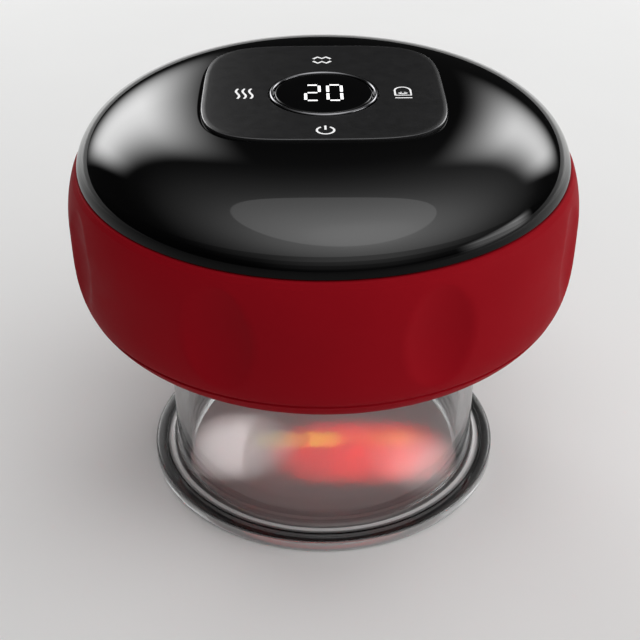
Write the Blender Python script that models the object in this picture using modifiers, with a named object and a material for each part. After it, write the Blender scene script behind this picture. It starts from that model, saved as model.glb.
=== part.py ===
"""Electric cupping massager, in metres, +Z up.

The origin is the centre of the cup's rim, on the plane that the rim rests on. The power key faces -Y
and the charging socket faces +Y. Every physical piece is its own object; moving pieces have their
origin on the axis that they move about.
"""

import math

import bmesh
import bpy
from mathutils import Matrix, Vector

# Fits and overruns shared by all pieces
SEAT_GAP = 0.0003
SLIDE_GAP = 0.0004
PIN_PLAY = 0.0001
OVERRUN = 0.0015
EMBED = 0.0005
WELD = 0.0000005

# Facets round a full turn
SHELL_STEPS = 44
RING_STEPS = 28
ROUND_STEPS = 18
SMALL_STEPS = 8
OUTLINE_POINTS = 40
CORNER_SEGMENTS = 2
FACET_TURN = math.radians(20)
LUG_STEPS = 2
RAMP_STEPS = 6

# Suction cup
CUP_HEIGHT = 0.0440
CUP_RADIUS = 0.0324
CUP_WALL = 0.0028
FLANGE_REACH = 0.0049
FLANGE_THICK = 0.0027
FLANGE_EDGE = 0.0006
FLANGE_FILLET = 0.0014
FLANGE_FILLET_STEPS = 2
MOUTH_CHAMFER = 0.0004

# Screw fastening of the cup: lugs on the neck, ramps in the socket
LUG_COUNT = 3
LUG_REACH = 0.0017
LUG_HEIGHT = 0.0017
LUG_SPAN = math.radians(18)
CUP_TURN = math.radians(50)
THREAD_LEAD = 0.0216
RAMP_HEIGHT = 0.0011
FIRST_LUG_ANGLE = math.radians(90)

# Gasket between the cup's mouth and the socket's ceiling
SEAL_THICK = 0.0017
SEAL_WIDTH = 0.0032

# Cup socket
SOCKET_WALL = 0.0017
SOCKET_DEPTH = 0.0101
CEILING_THICK = 0.0020
NIPPLE_RADIUS = 0.0015
NIPPLE_BORE = 0.0008
NIPPLE_HEIGHT = 0.0067

# Grip drum
DRUM_REACH = 0.0138
DRUM_WALL = 0.0022
DRUM_UNDER_HEIGHT = 0.0242
DRUM_SIDE_POWER = 3.5
DRUM_UNDER_POWER = 4.5
DRUM_STEPS = 7
DRUM_BACK_STEPS = 5
RIM_RISE = 0.0106
RIM_INSET = 0.0019
RIM_POWER = 2.2
RIM_STEPS = 3
RIM_BACK_STEPS = 2
SKIRT_INSET = 0.0010

# Finger dimples, cut by flattened balls
DIMPLE_COUNT = 8
DIMPLE_SIZE = Vector((0.0092, 0.0034, 0.0142))
DIMPLE_DEPTH = 0.0014
DIMPLE_DROP = 0.0019
DIMPLE_SEGMENTS = 18
DIMPLE_RINGS = 12

# Bosses in the drum and their screws
SOCKET_SCREW_COUNT = 3
SOCKET_SCREW_RADIUS = 0.0011
SOCKET_SCREW_LENGTH = 0.0085
SOCKET_BOSS_RADIUS = 0.0030
SOCKET_BOSS_GAP = 0.0013
SOCKET_BOSS_SKIN = 0.0005
SCREW_HEAD_SHARE = 1.8
SCREW_HEAD_HEIGHT_SHARE = 1.1
SCREW_SLOT_WIDTH_SHARE = 0.45
SCREW_SLOT_DEPTH_SHARE = 0.5

# Top cover
DOME_EDGE_INSET = 0.0006
DOME_RISE = 0.0120
DOME_WALL = 0.0022
DOME_SIDE_POWER = 5.0
DOME_TOP_POWER = 1.75
DOME_STEPS = 9
DOME_BACK_STEPS = 6
SKIRT_WALL = 0.0013
SKIRT_DEPTH = 0.0050
SKIRT_REACH_UP = 0.0040
SNAP_REACH = 0.0010
SNAP_HEIGHT = 0.0012

# Touch panel and display window
PANEL_HALF_X = 0.0229
PANEL_HALF_Y = 0.0223
PANEL_SETBACK = 0.0022
PANEL_POWER = 4.0
PANEL_THICK = 0.0009
PANEL_CHAMFER = 0.0004
PANEL_RECESS = 0.0009
WINDOW_RADIUS = 0.00925
WINDOW_THICK = 0.0010
RING_WALL = 0.0007
RING_THICK = 0.0012
DISPLAY_HOLE_RADIUS = 0.0086
DISPLAY_WIDTH = 0.0130
DISPLAY_DEPTH = 0.0100
KEY_SIDE_OFFSET = 0.0150
KEY_FRONT_OFFSET = 0.0165

# Main board
BOARD_MARGIN = 0.0072
BOARD_THICK = 0.0016
BOARD_DROP = 0.0060
BOARD_SCREW_COUNT = 3
BOARD_SCREW_INSET = 0.0040
BOARD_SCREW_RADIUS = 0.0008
BOARD_SCREW_LENGTH = 0.0050
BOARD_BOSS_RADIUS = 0.0025
CHIP_SIZES = (
    Vector((0.0070, 0.0070, 0.0012)),
    Vector((0.0045, 0.0050, 0.0015)),
    Vector((0.0060, 0.0040, 0.0020)),
)
CHIP_PLACES = (
    Vector((-0.0220, -0.0120)),
    Vector((0.0215, 0.0120)),
    Vector((0.0230, -0.0110)),
)

# Touch springs
KEY_SPRING_RADIUS = 0.0026
KEY_SPRING_WIRE = 0.0003
KEY_SPRING_TURNS = 3
SPRING_POINTS_PER_TURN = 8

# Inner frame
FRAME_INSET = 0.0004
FRAME_THICK = 0.0018
FRAME_NIPPLE_HOLE = 0.0032
SADDLE_THICK = 0.0040
SADDLE_HEIGHT = 0.0064
SADDLE_PLACES_SHARE = (0.22, 0.78)

# Battery and its tray
BATTERY_WIDTH = 0.0240
BATTERY_HEIGHT = 0.0090
BATTERY_CORNER = 0.0020
BATTERY_EDGE_ROOM = 0.0084
BATTERY_END_ROOM = 0.0055
TRAY_WALL = 0.0012
TRAY_HEIGHT = 0.0050

# Charging inlet
INLET_SIZE = Vector((0.0090, 0.0073, 0.0033))
INLET_WALL = 0.0003
INLET_CORNER = 0.0012
INLET_SETBACK = 0.0012
INLET_TONGUE = Vector((0.0066, 0.0048, 0.0007))
INLET_BACK = 0.0010
CHARGE_BOARD_SIZE = Vector((0.0160, 0.0160, 0.0010))
CHARGE_POST_RADIUS = 0.0018
CHARGE_POST_HEIGHT = 0.0026

# Vacuum pump: heights along its axis are counted from the joint between motor and pump
PUMP_Y = 0.0140
PUMP_REST = 0.0005
PUMP_SIDE = 0.0200
PUMP_CORNER = 0.0012
PUMP_PAD = Vector((0.0120, 0.0120))
MOTOR_RADIUS = 0.0090
MOTOR_END_ROOM = 0.0194
MOTOR_WALL = 0.0007
MOTOR_CAP_THICK = 0.0010
MAGNET_WALL = 0.0013
MAGNET_MARGIN = 0.0033
ROTOR_AIR = 0.0005
ROTOR_MARGIN = 0.0042
SHAFT_RADIUS = 0.0010
SHAFT_TAIL = 0.0005
PUMP_BODY_LENGTH = 0.0120
PUMP_BODY_WALL = 0.0015
PUMP_CAVITY_RADIUS = 0.0086
ECCENTRIC_RADIUS = 0.0045
ECCENTRIC_THICK = 0.0030
ECCENTRIC_FLOOR = 0.0014
WOBBLE_TILT = math.radians(7)
WOBBLE_DROP = 0.0017
CRANK_PIN_RADIUS = 0.0007
PLATE_RADIUS = 0.0074
PLATE_THICK = 0.0012
PLATE_HUB_RADIUS = 0.0019
PLATE_HUB_LENGTH = 0.0030
DIAPHRAGM_RADIUS = 0.0090
DIAPHRAGM_THICK = 0.0008
DIAPHRAGM_CUPS = 3
DIAPHRAGM_CUP_RADIUS = 0.0022
DIAPHRAGM_CUP_CIRCLE = 0.0048
VALVE_PLATE_THICK = 0.0025
VALVE_HOLE_RADIUS = 0.0006
PUMP_COVER_THICK = 0.0040
PUMP_CHAMBER_RADIUS = 0.0060
PUMP_CHAMBER_DEPTH = 0.0020
PUMP_SCREW_OFFSET = 0.0082
PUMP_SCREW_RADIUS = 0.0007
PUMP_SCREW_LENGTH = 0.0150
STRAP_WIDTH = 0.0060
STRAP_THICK = 0.0008
STRAP_EAR = 0.0042
STRAP_SCREW_RADIUS = 0.0008
STRAP_SCREW_LENGTH = 0.0050

# Air nozzles, hoses and tee
NOZZLE_RADIUS = 0.0015
NOZZLE_BORE = 0.0008
NOZZLE_LENGTH = 0.0050
HOSE_WALL = 0.0008
HOSE_RESOLUTION = 2
HOSE_STEPS = 2
HOSE_BEND = 0.0045
HOSE_STRAIGHT = 0.0030
TEE_MARGIN = 0.0104
TEE_Y = -0.0020
TEE_RISE = 0.0086
TEE_BODY_RADIUS = 0.0022
TEE_ARM = 0.0065
TEE_BRANCH_BORE = 0.0007

# Release valve: heights along its axis are counted from the port's wall toward the battery side
VALVE_LENGTH = 0.0120
VALVE_SIDE = 0.0100
VALVE_YOKE_WALL = 0.0009
VALVE_NOZZLE_LENGTH = 0.0040
VALVE_BORE_RADIUS = 0.0026
BOBBIN_WALL = 0.0005
BOBBIN_FLANGE = 0.0006
VALVE_SEAT_THICK = 0.0015
PLUNGER_TRAVEL = 0.0010
PLUNGER_RADIUS = 0.0022
PLUNGER_LENGTH = 0.0042
PLUNGER_TIP_RADIUS = 0.0010
PLUNGER_TIP_LENGTH = 0.0025
CORE_HEAD_RADIUS = 0.0035
CORE_HEAD_THICK = 0.0010
VALVE_SPRING_RADIUS = 0.0017
VALVE_SPRING_WIRE = 0.00015
VALVE_SPRING_TURNS = 3

# Heating head inside the cup
HEAD_AIR = 0.0026
HEAD_WALL = 0.0014
HEAD_FLOOR = 0.0012
HEAD_DEPTH = 0.0065
HEAD_EDGE = 0.0005
AIR_TUBE_RADIUS = 0.0042
AIR_TUBE_BORE = 0.0030
AIR_TUBE_DEPTH = 0.0033
HEAD_SCREW_COUNT = 2
HEAD_SCREW_INSET = 0.0050
HEAD_SCREW_RADIUS = 0.0010
HEAD_SCREW_LENGTH = 0.0032
LAMP_BOARD_THICK = 0.0012
LAMP_COUNT = 8
LAMP_SIZE = Vector((0.0035, 0.0028, 0.0011))
LENS_THICK = 0.0010
LENS_INNER_RADIUS = 0.0130
HEAT_PLATE_THICK = 0.0016
HEAT_PLATE_PROUD = 0.0006
HEAT_PLATE_EDGE = 0.0005
AIR_HOLE_RADIUS = 0.0008
AIR_HOLE_CIRCLE = 0.0028
AIR_HOLE_COUNT = 5
AIR_HOLE_FIRST = math.radians(4)
MAGNET_RING_BORE = 0.0050
MAGNET_RING_THICK = 0.0008
MAGNET_RING_INSET = 0.0012

# Leads: two wires each, from a plug under the main board
PLUG_SIZE = Vector((0.0050, 0.0070, 0.0030))
LEAD_RADIUS = 0.0005
LEAD_PITCH = 0.0030
LEAD_RESOLUTION = 1
LEAD_STEPS = 2
BATTERY_PLUG_X = -0.0080
BATTERY_LEAD_SLACK = 0.0020
MOTOR_PLUG_REACH = 0.0060

# Radii worked out from the sizes above, from the cup outward
CUP_BORE = CUP_RADIUS - CUP_WALL
FLANGE_RADIUS = CUP_RADIUS + FLANGE_REACH
LUG_RADIUS = CUP_RADIUS + LUG_REACH
SOCKET_BORE = LUG_RADIUS + SLIDE_GAP
SOCKET_RADIUS = SOCKET_BORE + SOCKET_WALL
SOCKET_SCREW_CIRCLE = SOCKET_RADIUS + SOCKET_BOSS_GAP + SOCKET_BOSS_RADIUS
CEILING_RADIUS = SOCKET_SCREW_CIRCLE + SOCKET_BOSS_RADIUS + SEAT_GAP
FRAME_RADIUS = CEILING_RADIUS - FRAME_INSET
DRUM_RADIUS = SOCKET_RADIUS + DRUM_REACH
DRUM_MOUTH_RADIUS = SOCKET_RADIUS + SEAT_GAP
RIM_RADIUS = DRUM_RADIUS - RIM_INSET
DOME_EDGE_RADIUS = RIM_RADIUS - DOME_EDGE_INSET
SKIRT_RADIUS = RIM_RADIUS - DRUM_WALL - SLIDE_GAP
BOARD_RADIUS = SKIRT_RADIUS - SKIRT_WALL - BOARD_MARGIN
BOARD_SCREW_CIRCLE = BOARD_RADIUS - BOARD_SCREW_INSET
RING_BORE = WINDOW_RADIUS + SEAT_GAP
RING_RADIUS = RING_BORE + RING_WALL
MOTOR_BORE = MOTOR_RADIUS - MOTOR_WALL
MAGNET_RADIUS = MOTOR_BORE - SEAT_GAP
ROTOR_RADIUS = MAGNET_RADIUS - MAGNET_WALL - ROTOR_AIR
HOSE_BORE = NOZZLE_RADIUS + SEAT_GAP
HOSE_RADIUS = HOSE_BORE + HOSE_WALL
HEAD_RADIUS = CUP_BORE - HEAD_AIR
HEAD_SCREW_CIRCLE = HEAD_RADIUS - HEAD_SCREW_INSET
LENS_RADIUS = HEAD_RADIUS - HEAD_WALL - SEAT_GAP
LAMP_CIRCLE = (LENS_INNER_RADIUS + LENS_RADIUS) / 2

# Heights worked out from the sizes above
CEILING_Z = CUP_HEIGHT + SEAT_GAP + SEAL_THICK + SEAT_GAP
CEILING_TOP_Z = CEILING_Z + CEILING_THICK
SOCKET_Z = CEILING_Z - SOCKET_DEPTH
DRUM_BOTTOM_Z = SOCKET_Z - SKIRT_INSET
DRUM_WIDEST_Z = DRUM_BOTTOM_Z + DRUM_UNDER_HEIGHT
RIM_Z = DRUM_WIDEST_Z + RIM_RISE
DOME_EDGE_Z = RIM_Z + SEAT_GAP
DOME_TOP_Z = DOME_EDGE_Z + DOME_RISE
DOME_INNER_Z = DOME_TOP_Z - DOME_WALL
PANEL_FLOOR_Z = DOME_TOP_Z - PANEL_RECESS
PANEL_Z = PANEL_FLOOR_Z + SEAT_GAP
BOARD_TOP_Z = PANEL_FLOOR_Z - BOARD_DROP
BOARD_Z = BOARD_TOP_Z - BOARD_THICK
FRAME_Z = CEILING_TOP_Z + SEAT_GAP
FRAME_TOP_Z = FRAME_Z + FRAME_THICK
PUMP_Z = FRAME_TOP_Z + PUMP_REST + SEAT_GAP + PUMP_SIDE / 2

# Places in the layer of pump, valve and battery, which follow the frame's radius
TEE_X = FRAME_RADIUS - TEE_MARGIN
PUMP_HEAD_LENGTH = PUMP_BODY_LENGTH + DIAPHRAGM_THICK + VALVE_PLATE_THICK + PUMP_COVER_THICK + 4 * SEAT_GAP
WOBBLE_HEIGHT = SEAT_GAP + PUMP_BODY_LENGTH - WOBBLE_DROP
PUMP_X = TEE_X - HOSE_BEND - HOSE_STRAIGHT - NOZZLE_LENGTH - PUMP_HEAD_LENGTH
MOTOR_LENGTH = FRAME_RADIUS - MOTOR_END_ROOM
BATTERY_SIZE = Vector((2 * (TEE_X - VALVE_SIDE / 2 - BATTERY_END_ROOM), BATTERY_WIDTH, BATTERY_HEIGHT))
BATTERY_Y = BATTERY_EDGE_ROOM + BATTERY_WIDTH / 2 - FRAME_RADIUS
TEE_PLACE = Vector((TEE_X, TEE_Y, FRAME_TOP_Z + TEE_RISE))

HALF_TURN = math.pi
QUARTER_TURN = math.pi / 2
FULL_TURN = math.tau

for old in list(bpy.data.objects):
    bpy.data.objects.remove(old)

PARTS = bpy.data.collections.new("cupping_massager")
CUTTERS = bpy.data.collections.new("cutters")
bpy.context.scene.collection.children.link(PARTS)
bpy.context.scene.collection.children.link(CUTTERS)


def material(name, colour, roughness, metallic=0.0):
    """A Principled material with a linear colour."""
    made = bpy.data.materials.new(name)
    made.use_nodes = True
    shader = made.node_tree.nodes["Principled BSDF"]
    shader.inputs["Base Color"].default_value = (*colour, 1.0)
    shader.inputs["Roughness"].default_value = roughness
    shader.inputs["Metallic"].default_value = metallic
    made.diffuse_color = (*colour, 1.0)
    return made


RED_SATIN = material("red_satin", (0.15, 0.006, 0.010), 0.38)
BLACK_GLOSS = material("black_gloss", (0.004, 0.004, 0.004), 0.06)
BLACK_MATT = material("black_matt", (0.018, 0.018, 0.018), 0.45)
SMOKED_LENS = material("smoked_lens", (0.002, 0.002, 0.002), 0.08)
BRIGHT_METAL = material("bright_metal", (0.75, 0.75, 0.76), 0.12, 1.0)
STEEL = material("steel", (0.55, 0.55, 0.56), 0.30, 1.0)
CLEAR_SMOKE = material("clear_smoke", (0.35, 0.36, 0.36), 0.05)
RED_LENS = material("red_lens", (0.70, 0.02, 0.02), 0.15)
BLACK_PLASTIC = material("black_plastic", (0.020, 0.020, 0.022), 0.50)
WHITE_PLASTIC = material("white_plastic", (0.75, 0.75, 0.72), 0.50)
GREY_PLASTIC = material("grey_plastic", (0.22, 0.22, 0.23), 0.55)
CIRCUIT_GREEN = material("circuit_green", (0.010, 0.090, 0.030), 0.40)
SILICONE = material("silicone", (0.60, 0.60, 0.58), 0.55)
RUBBER = material("rubber", (0.025, 0.025, 0.025), 0.80)
COPPER = material("copper", (0.60, 0.26, 0.12), 0.35, 1.0)
BATTERY_FOIL = material("battery_foil", (0.50, 0.52, 0.55), 0.35, 0.6)
FERRITE = material("ferrite", (0.05, 0.05, 0.055), 0.60)
SPONGE = material("sponge", (0.65, 0.65, 0.62), 0.95)


def add(name, mesh, finish):
    """Puts a mesh in the scene as an object with its material."""
    obj = bpy.data.objects.new(name, mesh)
    PARTS.objects.link(obj)
    if finish:
        mesh.materials.append(finish)
    return obj


def as_tool(obj):
    """Turns an object into a cutter or a shape to be joined, which isn't rendered."""
    for home in list(obj.users_collection):
        home.objects.unlink(obj)
    CUTTERS.objects.link(obj)
    obj.hide_render = True
    obj.display_type = "WIRE"
    return obj


def combine(obj, tool, operation):
    step = obj.modifiers.new(tool.name, "BOOLEAN")
    step.operation = operation
    step.object = as_tool(tool)
    step.solver = "EXACT"
    return obj


def cut(obj, *tools):
    for tool in tools:
        combine(obj, tool, "DIFFERENCE")
    return obj


def join(obj, *tools):
    for tool in tools:
        combine(obj, tool, "UNION")
    return obj


def place(obj, location=(0, 0, 0), turn=None):
    """Moves an object's origin to a place and turns it about that origin."""
    matrix = Matrix.Translation(location)
    if turn is not None:
        matrix = matrix @ turn
    obj.matrix_world = matrix
    return obj


ORIGIN = Vector((0, 0, 0))
OFF_FACET = Matrix.Rotation(FACET_TURN, 4, "Z")
ALONG_X = Matrix.Rotation(QUARTER_TURN, 4, "Y")
ALONG_Y = Matrix.Rotation(-QUARTER_TURN, 4, "X")


def on_circle(radius, angle, height=0.0):
    return Vector((radius * math.cos(angle), radius * math.sin(angle), height))


def angles(count, first=0.0):
    return [first + FULL_TURN * k / count for k in range(count)]


def box(name, size, centre, finish=None, corner=0.0):
    """A box with optional rounded upright and level edges."""
    bm = bmesh.new()
    bmesh.ops.create_cube(bm, size=1)
    bmesh.ops.scale(bm, vec=size, verts=bm.verts)
    bmesh.ops.translate(bm, vec=centre, verts=bm.verts)
    mesh = bpy.data.meshes.new(name)
    bm.to_mesh(mesh)
    bm.free()
    obj = add(name, mesh, finish)
    if corner:
        rounding = obj.modifiers.new("corners", "BEVEL")
        rounding.width = corner
        rounding.segments = CORNER_SEGMENTS
        rounding.limit_method = "NONE"
    return obj


def box_between(name, low, high, finish=None, corner=0.0):
    low = Vector(low)
    high = Vector(high)
    return box(name, high - low, (low + high) / 2, finish, corner)


def turned(name, profile, steps=ROUND_STEPS, finish=None):
    """A profile of (radius, height) points, outer side first and downward, turned about Z.

    A profile that starts and ends on the axis stays open there; any other one is closed.
    """
    mesh = bpy.data.meshes.new(name)
    points = [(radius, 0, height) for radius, height in profile]
    edges = [(k, k + 1) for k in range(len(points) - 1)]
    if profile[0][0] > 0:
        edges.append((len(points) - 1, 0))
    mesh.from_pydata(points, edges, [])
    obj = add(name, mesh, finish)
    sweep(obj, steps)
    return obj


def sweep(obj, steps):
    turn = obj.modifiers.new("turn", "SCREW")
    turn.angle = FULL_TURN
    turn.steps = steps
    turn.render_steps = steps
    turn.use_merge_vertices = True
    turn.merge_threshold = WELD
    turn.use_smooth_shade = True


def disc(name, radius, low, high, steps=ROUND_STEPS, finish=None, edge=0.0):
    """A round plate or bar, its rims chamfered by edge."""
    if edge:
        rim = [(radius - edge, high), (radius, high - edge), (radius, low + edge), (radius - edge, low)]
    else:
        rim = [(radius, high), (radius, low)]
    return turned(name, [(0, high), *rim, (0, low)], steps, finish)


def ring(name, radius, bore, low, high, steps=ROUND_STEPS, finish=None):
    return turned(name, [(bore, high), (radius, high), (radius, low), (bore, low)], steps, finish)


def pierce(obj, label, radius, spots, low, high):
    """Cuts the same round hole at each spot, turned so that none of its corners meets a radial edge."""
    for k, spot in enumerate(spots):
        hole = disc(f"{label}_{k + 1}", radius, low, high, SMALL_STEPS)
        cut(obj, place(hole, spot, OFF_FACET))


def squircle(half_x, half_y, power, count, centre_y):
    """Points of a superellipse, even in its angle parameter."""
    points = []
    for angle in angles(count):
        along = math.cos(angle)
        across = math.sin(angle)
        points.append(
            Vector(
                (
                    half_x * math.copysign(abs(along) ** (2 / power), along),
                    centre_y + half_y * math.copysign(abs(across) ** (2 / power), across),
                    0,
                )
            )
        )
    return points


def meshed(obj, finish):
    """A mesh object in place of a curve object, its caps welded."""
    bpy.context.view_layer.update()
    seen = obj.evaluated_get(bpy.context.evaluated_depsgraph_get())
    mesh = bpy.data.meshes.new_from_object(seen)
    bm = bmesh.new()
    bm.from_mesh(mesh)
    bmesh.ops.remove_doubles(bm, verts=bm.verts, dist=WELD)
    bmesh.ops.recalc_face_normals(bm, faces=bm.faces)
    bm.to_mesh(mesh)
    bm.free()
    name = obj.name
    matrix = obj.matrix_world.copy()
    bpy.data.objects.remove(obj)
    made = add(name, mesh, finish)
    made.name = name
    made.matrix_world = matrix
    return made


def plate(name, outline, low, high, finish=None):
    """A flat outline given thickness between two heights."""
    curve = bpy.data.curves.new(name, "CURVE")
    curve.dimensions = "2D"
    curve.fill_mode = "BOTH"
    curve.extrude = (high - low) / 2
    spline = curve.splines.new("POLY")
    spline.points.add(len(outline) - 1)
    for point, spot in zip(spline.points, outline):
        point.co = (spot.x, spot.y, 0, 1)
    spline.use_cyclic_u = True
    obj = bpy.data.objects.new(name, curve)
    PARTS.objects.link(obj)
    obj.location.z = (low + high) / 2
    return meshed(obj, finish)


def poly_curve(name, points, radius, resolution, capped=True):
    curve = bpy.data.curves.new(name, "CURVE")
    curve.dimensions = "3D"
    curve.bevel_depth = radius
    curve.bevel_resolution = resolution
    curve.use_fill_caps = capped
    spline = curve.splines.new("POLY")
    spline.points.add(len(points) - 1)
    for point, spot in zip(spline.points, points):
        point.co = (*spot, 1)
    obj = bpy.data.objects.new(name, curve)
    PARTS.objects.link(obj)
    return obj


def smooth_route(knots, steps):
    """Points along a Catmull-Rom curve through the knots."""
    knots = [Vector(knot) for knot in knots]
    padded = [2 * knots[0] - knots[1], *knots, 2 * knots[-1] - knots[-2]]
    route = []
    for before, start, end, after in zip(padded, padded[1:], padded[2:], padded[3:]):
        for step in range(steps):
            t = step / steps
            route.append(
                0.5
                * (
                    2 * start
                    + (end - before) * t
                    + (2 * before - 5 * start + 4 * end - after) * t**2
                    + (3 * start - before - 3 * end + after) * t**3
                )
            )
    route.append(knots[-1])
    return route


def coil(radius, turns, low, high):
    """Points of a helix about Z whose wire centre runs from low to high."""
    count = turns * SPRING_POINTS_PER_TURN
    shares = [k / count for k in range(count + 1)]
    return [on_circle(radius, FULL_TURN * turns * share, low + (high - low) * share) for share in shares]


def least_gap(points, turns, wire):
    """The least clear distance between neighbouring turns of a helix, in metres."""
    per_turn = (len(points) - 1) // turns
    return min((b - a).length for a, b in zip(points, points[per_turn:])) - 2 * wire


def hose(name, knots, steps=HOSE_STEPS):
    """A thin-walled tube with an open bore along a smooth route."""
    route = smooth_route(knots, steps)
    tube = meshed(poly_curve(name, route, HOSE_RADIUS, HOSE_RESOLUTION, capped=False), SILICONE)
    wall = tube.modifiers.new("wall", "SOLIDIFY")
    wall.thickness = HOSE_WALL
    wall.offset = -1
    wall.use_even_offset = True
    return tube


def helical_bar(name, bore, radius, low, high, first, span, steps):
    """A bar of rectangular section that climbs the thread's lead as it goes round Z."""
    bm = bmesh.new()
    corners = [(bore, low), (radius, low), (radius, high), (bore, high)]
    verts = [bm.verts.new((r, 0, z)) for r, z in corners]
    section = bm.faces.new(verts)
    bmesh.ops.rotate(bm, verts=verts, matrix=Matrix.Rotation(first, 3, "Z"))
    climb = THREAD_LEAD * span / FULL_TURN
    bmesh.ops.spin(
        bm,
        geom=[section, *section.edges, *verts],
        axis=(0, 0, 1),
        dvec=(0, 0, climb / steps),
        angle=span,
        steps=steps,
        use_duplicate=False,
    )
    bmesh.ops.recalc_face_normals(bm, faces=bm.faces)
    mesh = bpy.data.meshes.new(name)
    bm.to_mesh(mesh)
    bm.free()
    return add(name, mesh, None)


def screw(name, radius, length, tip, turn=None):
    """A pan-head screw: its shank ends at the tip, and its head is toward local +Z."""
    head = radius * SCREW_HEAD_SHARE
    head_height = head * SCREW_HEAD_HEIGHT_SHARE
    top = length + head_height
    slot = box(
        name + "_slot",
        Vector((2 * head, radius * SCREW_SLOT_WIDTH_SHARE, head_height)),
        (0, 0, top + head_height / 2 - head_height * SCREW_SLOT_DEPTH_SHARE),
    )
    profile = [
        (0, top),
        ((head + radius) / 2, top),
        (head, top - head_height / 2),
        (head, length),
        (radius, length),
        (radius, 0),
        (0, 0),
    ]
    made = turned(name, profile, SMALL_STEPS, STEEL)
    cut(made, slot)
    place(made, tip, turn)
    slot.parent = made
    return made


def screws(name, spots, radius, length, turn=None):
    return [screw(f"{name}_{k + 1}", radius, length, spot, turn) for k, spot in enumerate(spots)]


def drum_outline(rim_steps, under_steps, inset=0.0):
    """The red drum's profile, from its rim down and in to its mouth, moved inward by an inset."""
    widest = DRUM_RADIUS - inset
    points = []
    for k in range(rim_steps):
        share = 1 - k / rim_steps
        radius = widest - RIM_INSET * share**RIM_POWER
        points.append((radius, DRUM_WIDEST_Z + RIM_RISE * share))
    mouth_angle = math.acos((DRUM_MOUTH_RADIUS / widest) ** (DRUM_SIDE_POWER / 2))
    for k in range(under_steps + 1):
        angle = mouth_angle * k / under_steps
        radius = widest * math.cos(angle) ** (2 / DRUM_SIDE_POWER)
        drop = (DRUM_UNDER_HEIGHT - inset) * math.sin(angle) ** (2 / DRUM_UNDER_POWER)
        points.append((radius, DRUM_WIDEST_Z - drop))
    return points


def drum_under_height(radius):
    """The height of the drum's underside at a radius."""
    share = (radius / DRUM_RADIUS) ** DRUM_SIDE_POWER
    return DRUM_WIDEST_Z - DRUM_UNDER_HEIGHT * (1 - share) ** (1 / DRUM_UNDER_POWER)


def socket_screw_spots(height):
    return [on_circle(SOCKET_SCREW_CIRCLE, a, height) for a in angles(SOCKET_SCREW_COUNT, FULL_TURN / 8)]


def build_grip_shell():
    outer = drum_outline(RIM_STEPS, DRUM_STEPS)
    inner = drum_outline(RIM_BACK_STEPS, DRUM_BACK_STEPS, DRUM_WALL)
    shell = turned("grip_shell", [*outer, *reversed(inner)], SHELL_STEPS, RED_SATIN)
    boss_low = drum_under_height(SOCKET_SCREW_CIRCLE + SOCKET_BOSS_RADIUS) + SOCKET_BOSS_SKIN
    for k, spot in enumerate(socket_screw_spots(0)):
        boss = disc(f"socket_boss_{k}", SOCKET_BOSS_RADIUS, boss_low, CEILING_Z - SEAT_GAP, SMALL_STEPS)
        join(shell, place(boss, spot))
    hole_low = FRAME_TOP_Z - SOCKET_SCREW_LENGTH - SEAT_GAP
    hole_radius = SOCKET_SCREW_RADIUS + SEAT_GAP
    pierce(shell, "socket_boss_hole", hole_radius, socket_screw_spots(0), hole_low, CEILING_Z + OVERRUN)
    for k, angle in enumerate(angles(DIMPLE_COUNT, FULL_TURN / DIMPLE_COUNT / 2)):
        cut(shell, dimple(k, angle))
    slot_margin = Vector((2 * SEAT_GAP, 0, 2 * SEAT_GAP))
    slot_size = Vector((INLET_SIZE.x, 2 * DRUM_WALL + 2 * OVERRUN, INLET_SIZE.z)) + slot_margin
    slot_centre = (0, DRUM_RADIUS - DRUM_WALL / 2, inlet_centre_z())
    cut(shell, box("inlet_slot", slot_size, slot_centre, corner=INLET_CORNER))


def dimple(number, angle):
    """A flattened ball that presses one finger dimple into the drum's side."""
    mesh = bpy.data.meshes.new(f"dimple_{number}")
    bm = bmesh.new()
    bmesh.ops.create_uvsphere(bm, u_segments=DIMPLE_SEGMENTS, v_segments=DIMPLE_RINGS, radius=1)
    bmesh.ops.rotate(bm, verts=bm.verts, matrix=Matrix.Rotation(HALF_TURN / DIMPLE_SEGMENTS, 3, "Z"))
    bmesh.ops.scale(bm, vec=DIMPLE_SIZE, verts=bm.verts)
    bm.to_mesh(mesh)
    bm.free()
    reach = DRUM_RADIUS + DIMPLE_SIZE.y - DIMPLE_DEPTH
    spot = on_circle(reach, angle, DRUM_WIDEST_Z - DIMPLE_DROP)
    return place(add(mesh.name, mesh, None), spot, Matrix.Rotation(angle - QUARTER_TURN, 4, "Z"))


def dome_outline(count, inset=0.0):
    """The top cover's profile, from its centre out and down to its edge, moved inward by an inset."""
    points = []
    for k in range(count + 1):
        angle = QUARTER_TURN * k / count
        radius = (DOME_EDGE_RADIUS - inset) * math.sin(angle) ** (2 / DOME_SIDE_POWER)
        rise = (DOME_RISE - inset) * math.cos(angle) ** (2 / DOME_TOP_POWER)
        points.append((radius, DOME_EDGE_Z + rise))
    return points


def board_screw_spots(height):
    return [on_circle(BOARD_SCREW_CIRCLE, a, height) for a in angles(BOARD_SCREW_COUNT, FULL_TURN / 8)]


def dome_height_at(radius):
    share = (radius / DOME_EDGE_RADIUS) ** DOME_SIDE_POWER
    return DOME_EDGE_Z + DOME_RISE * (1 - share) ** (1 / DOME_TOP_POWER)


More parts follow.
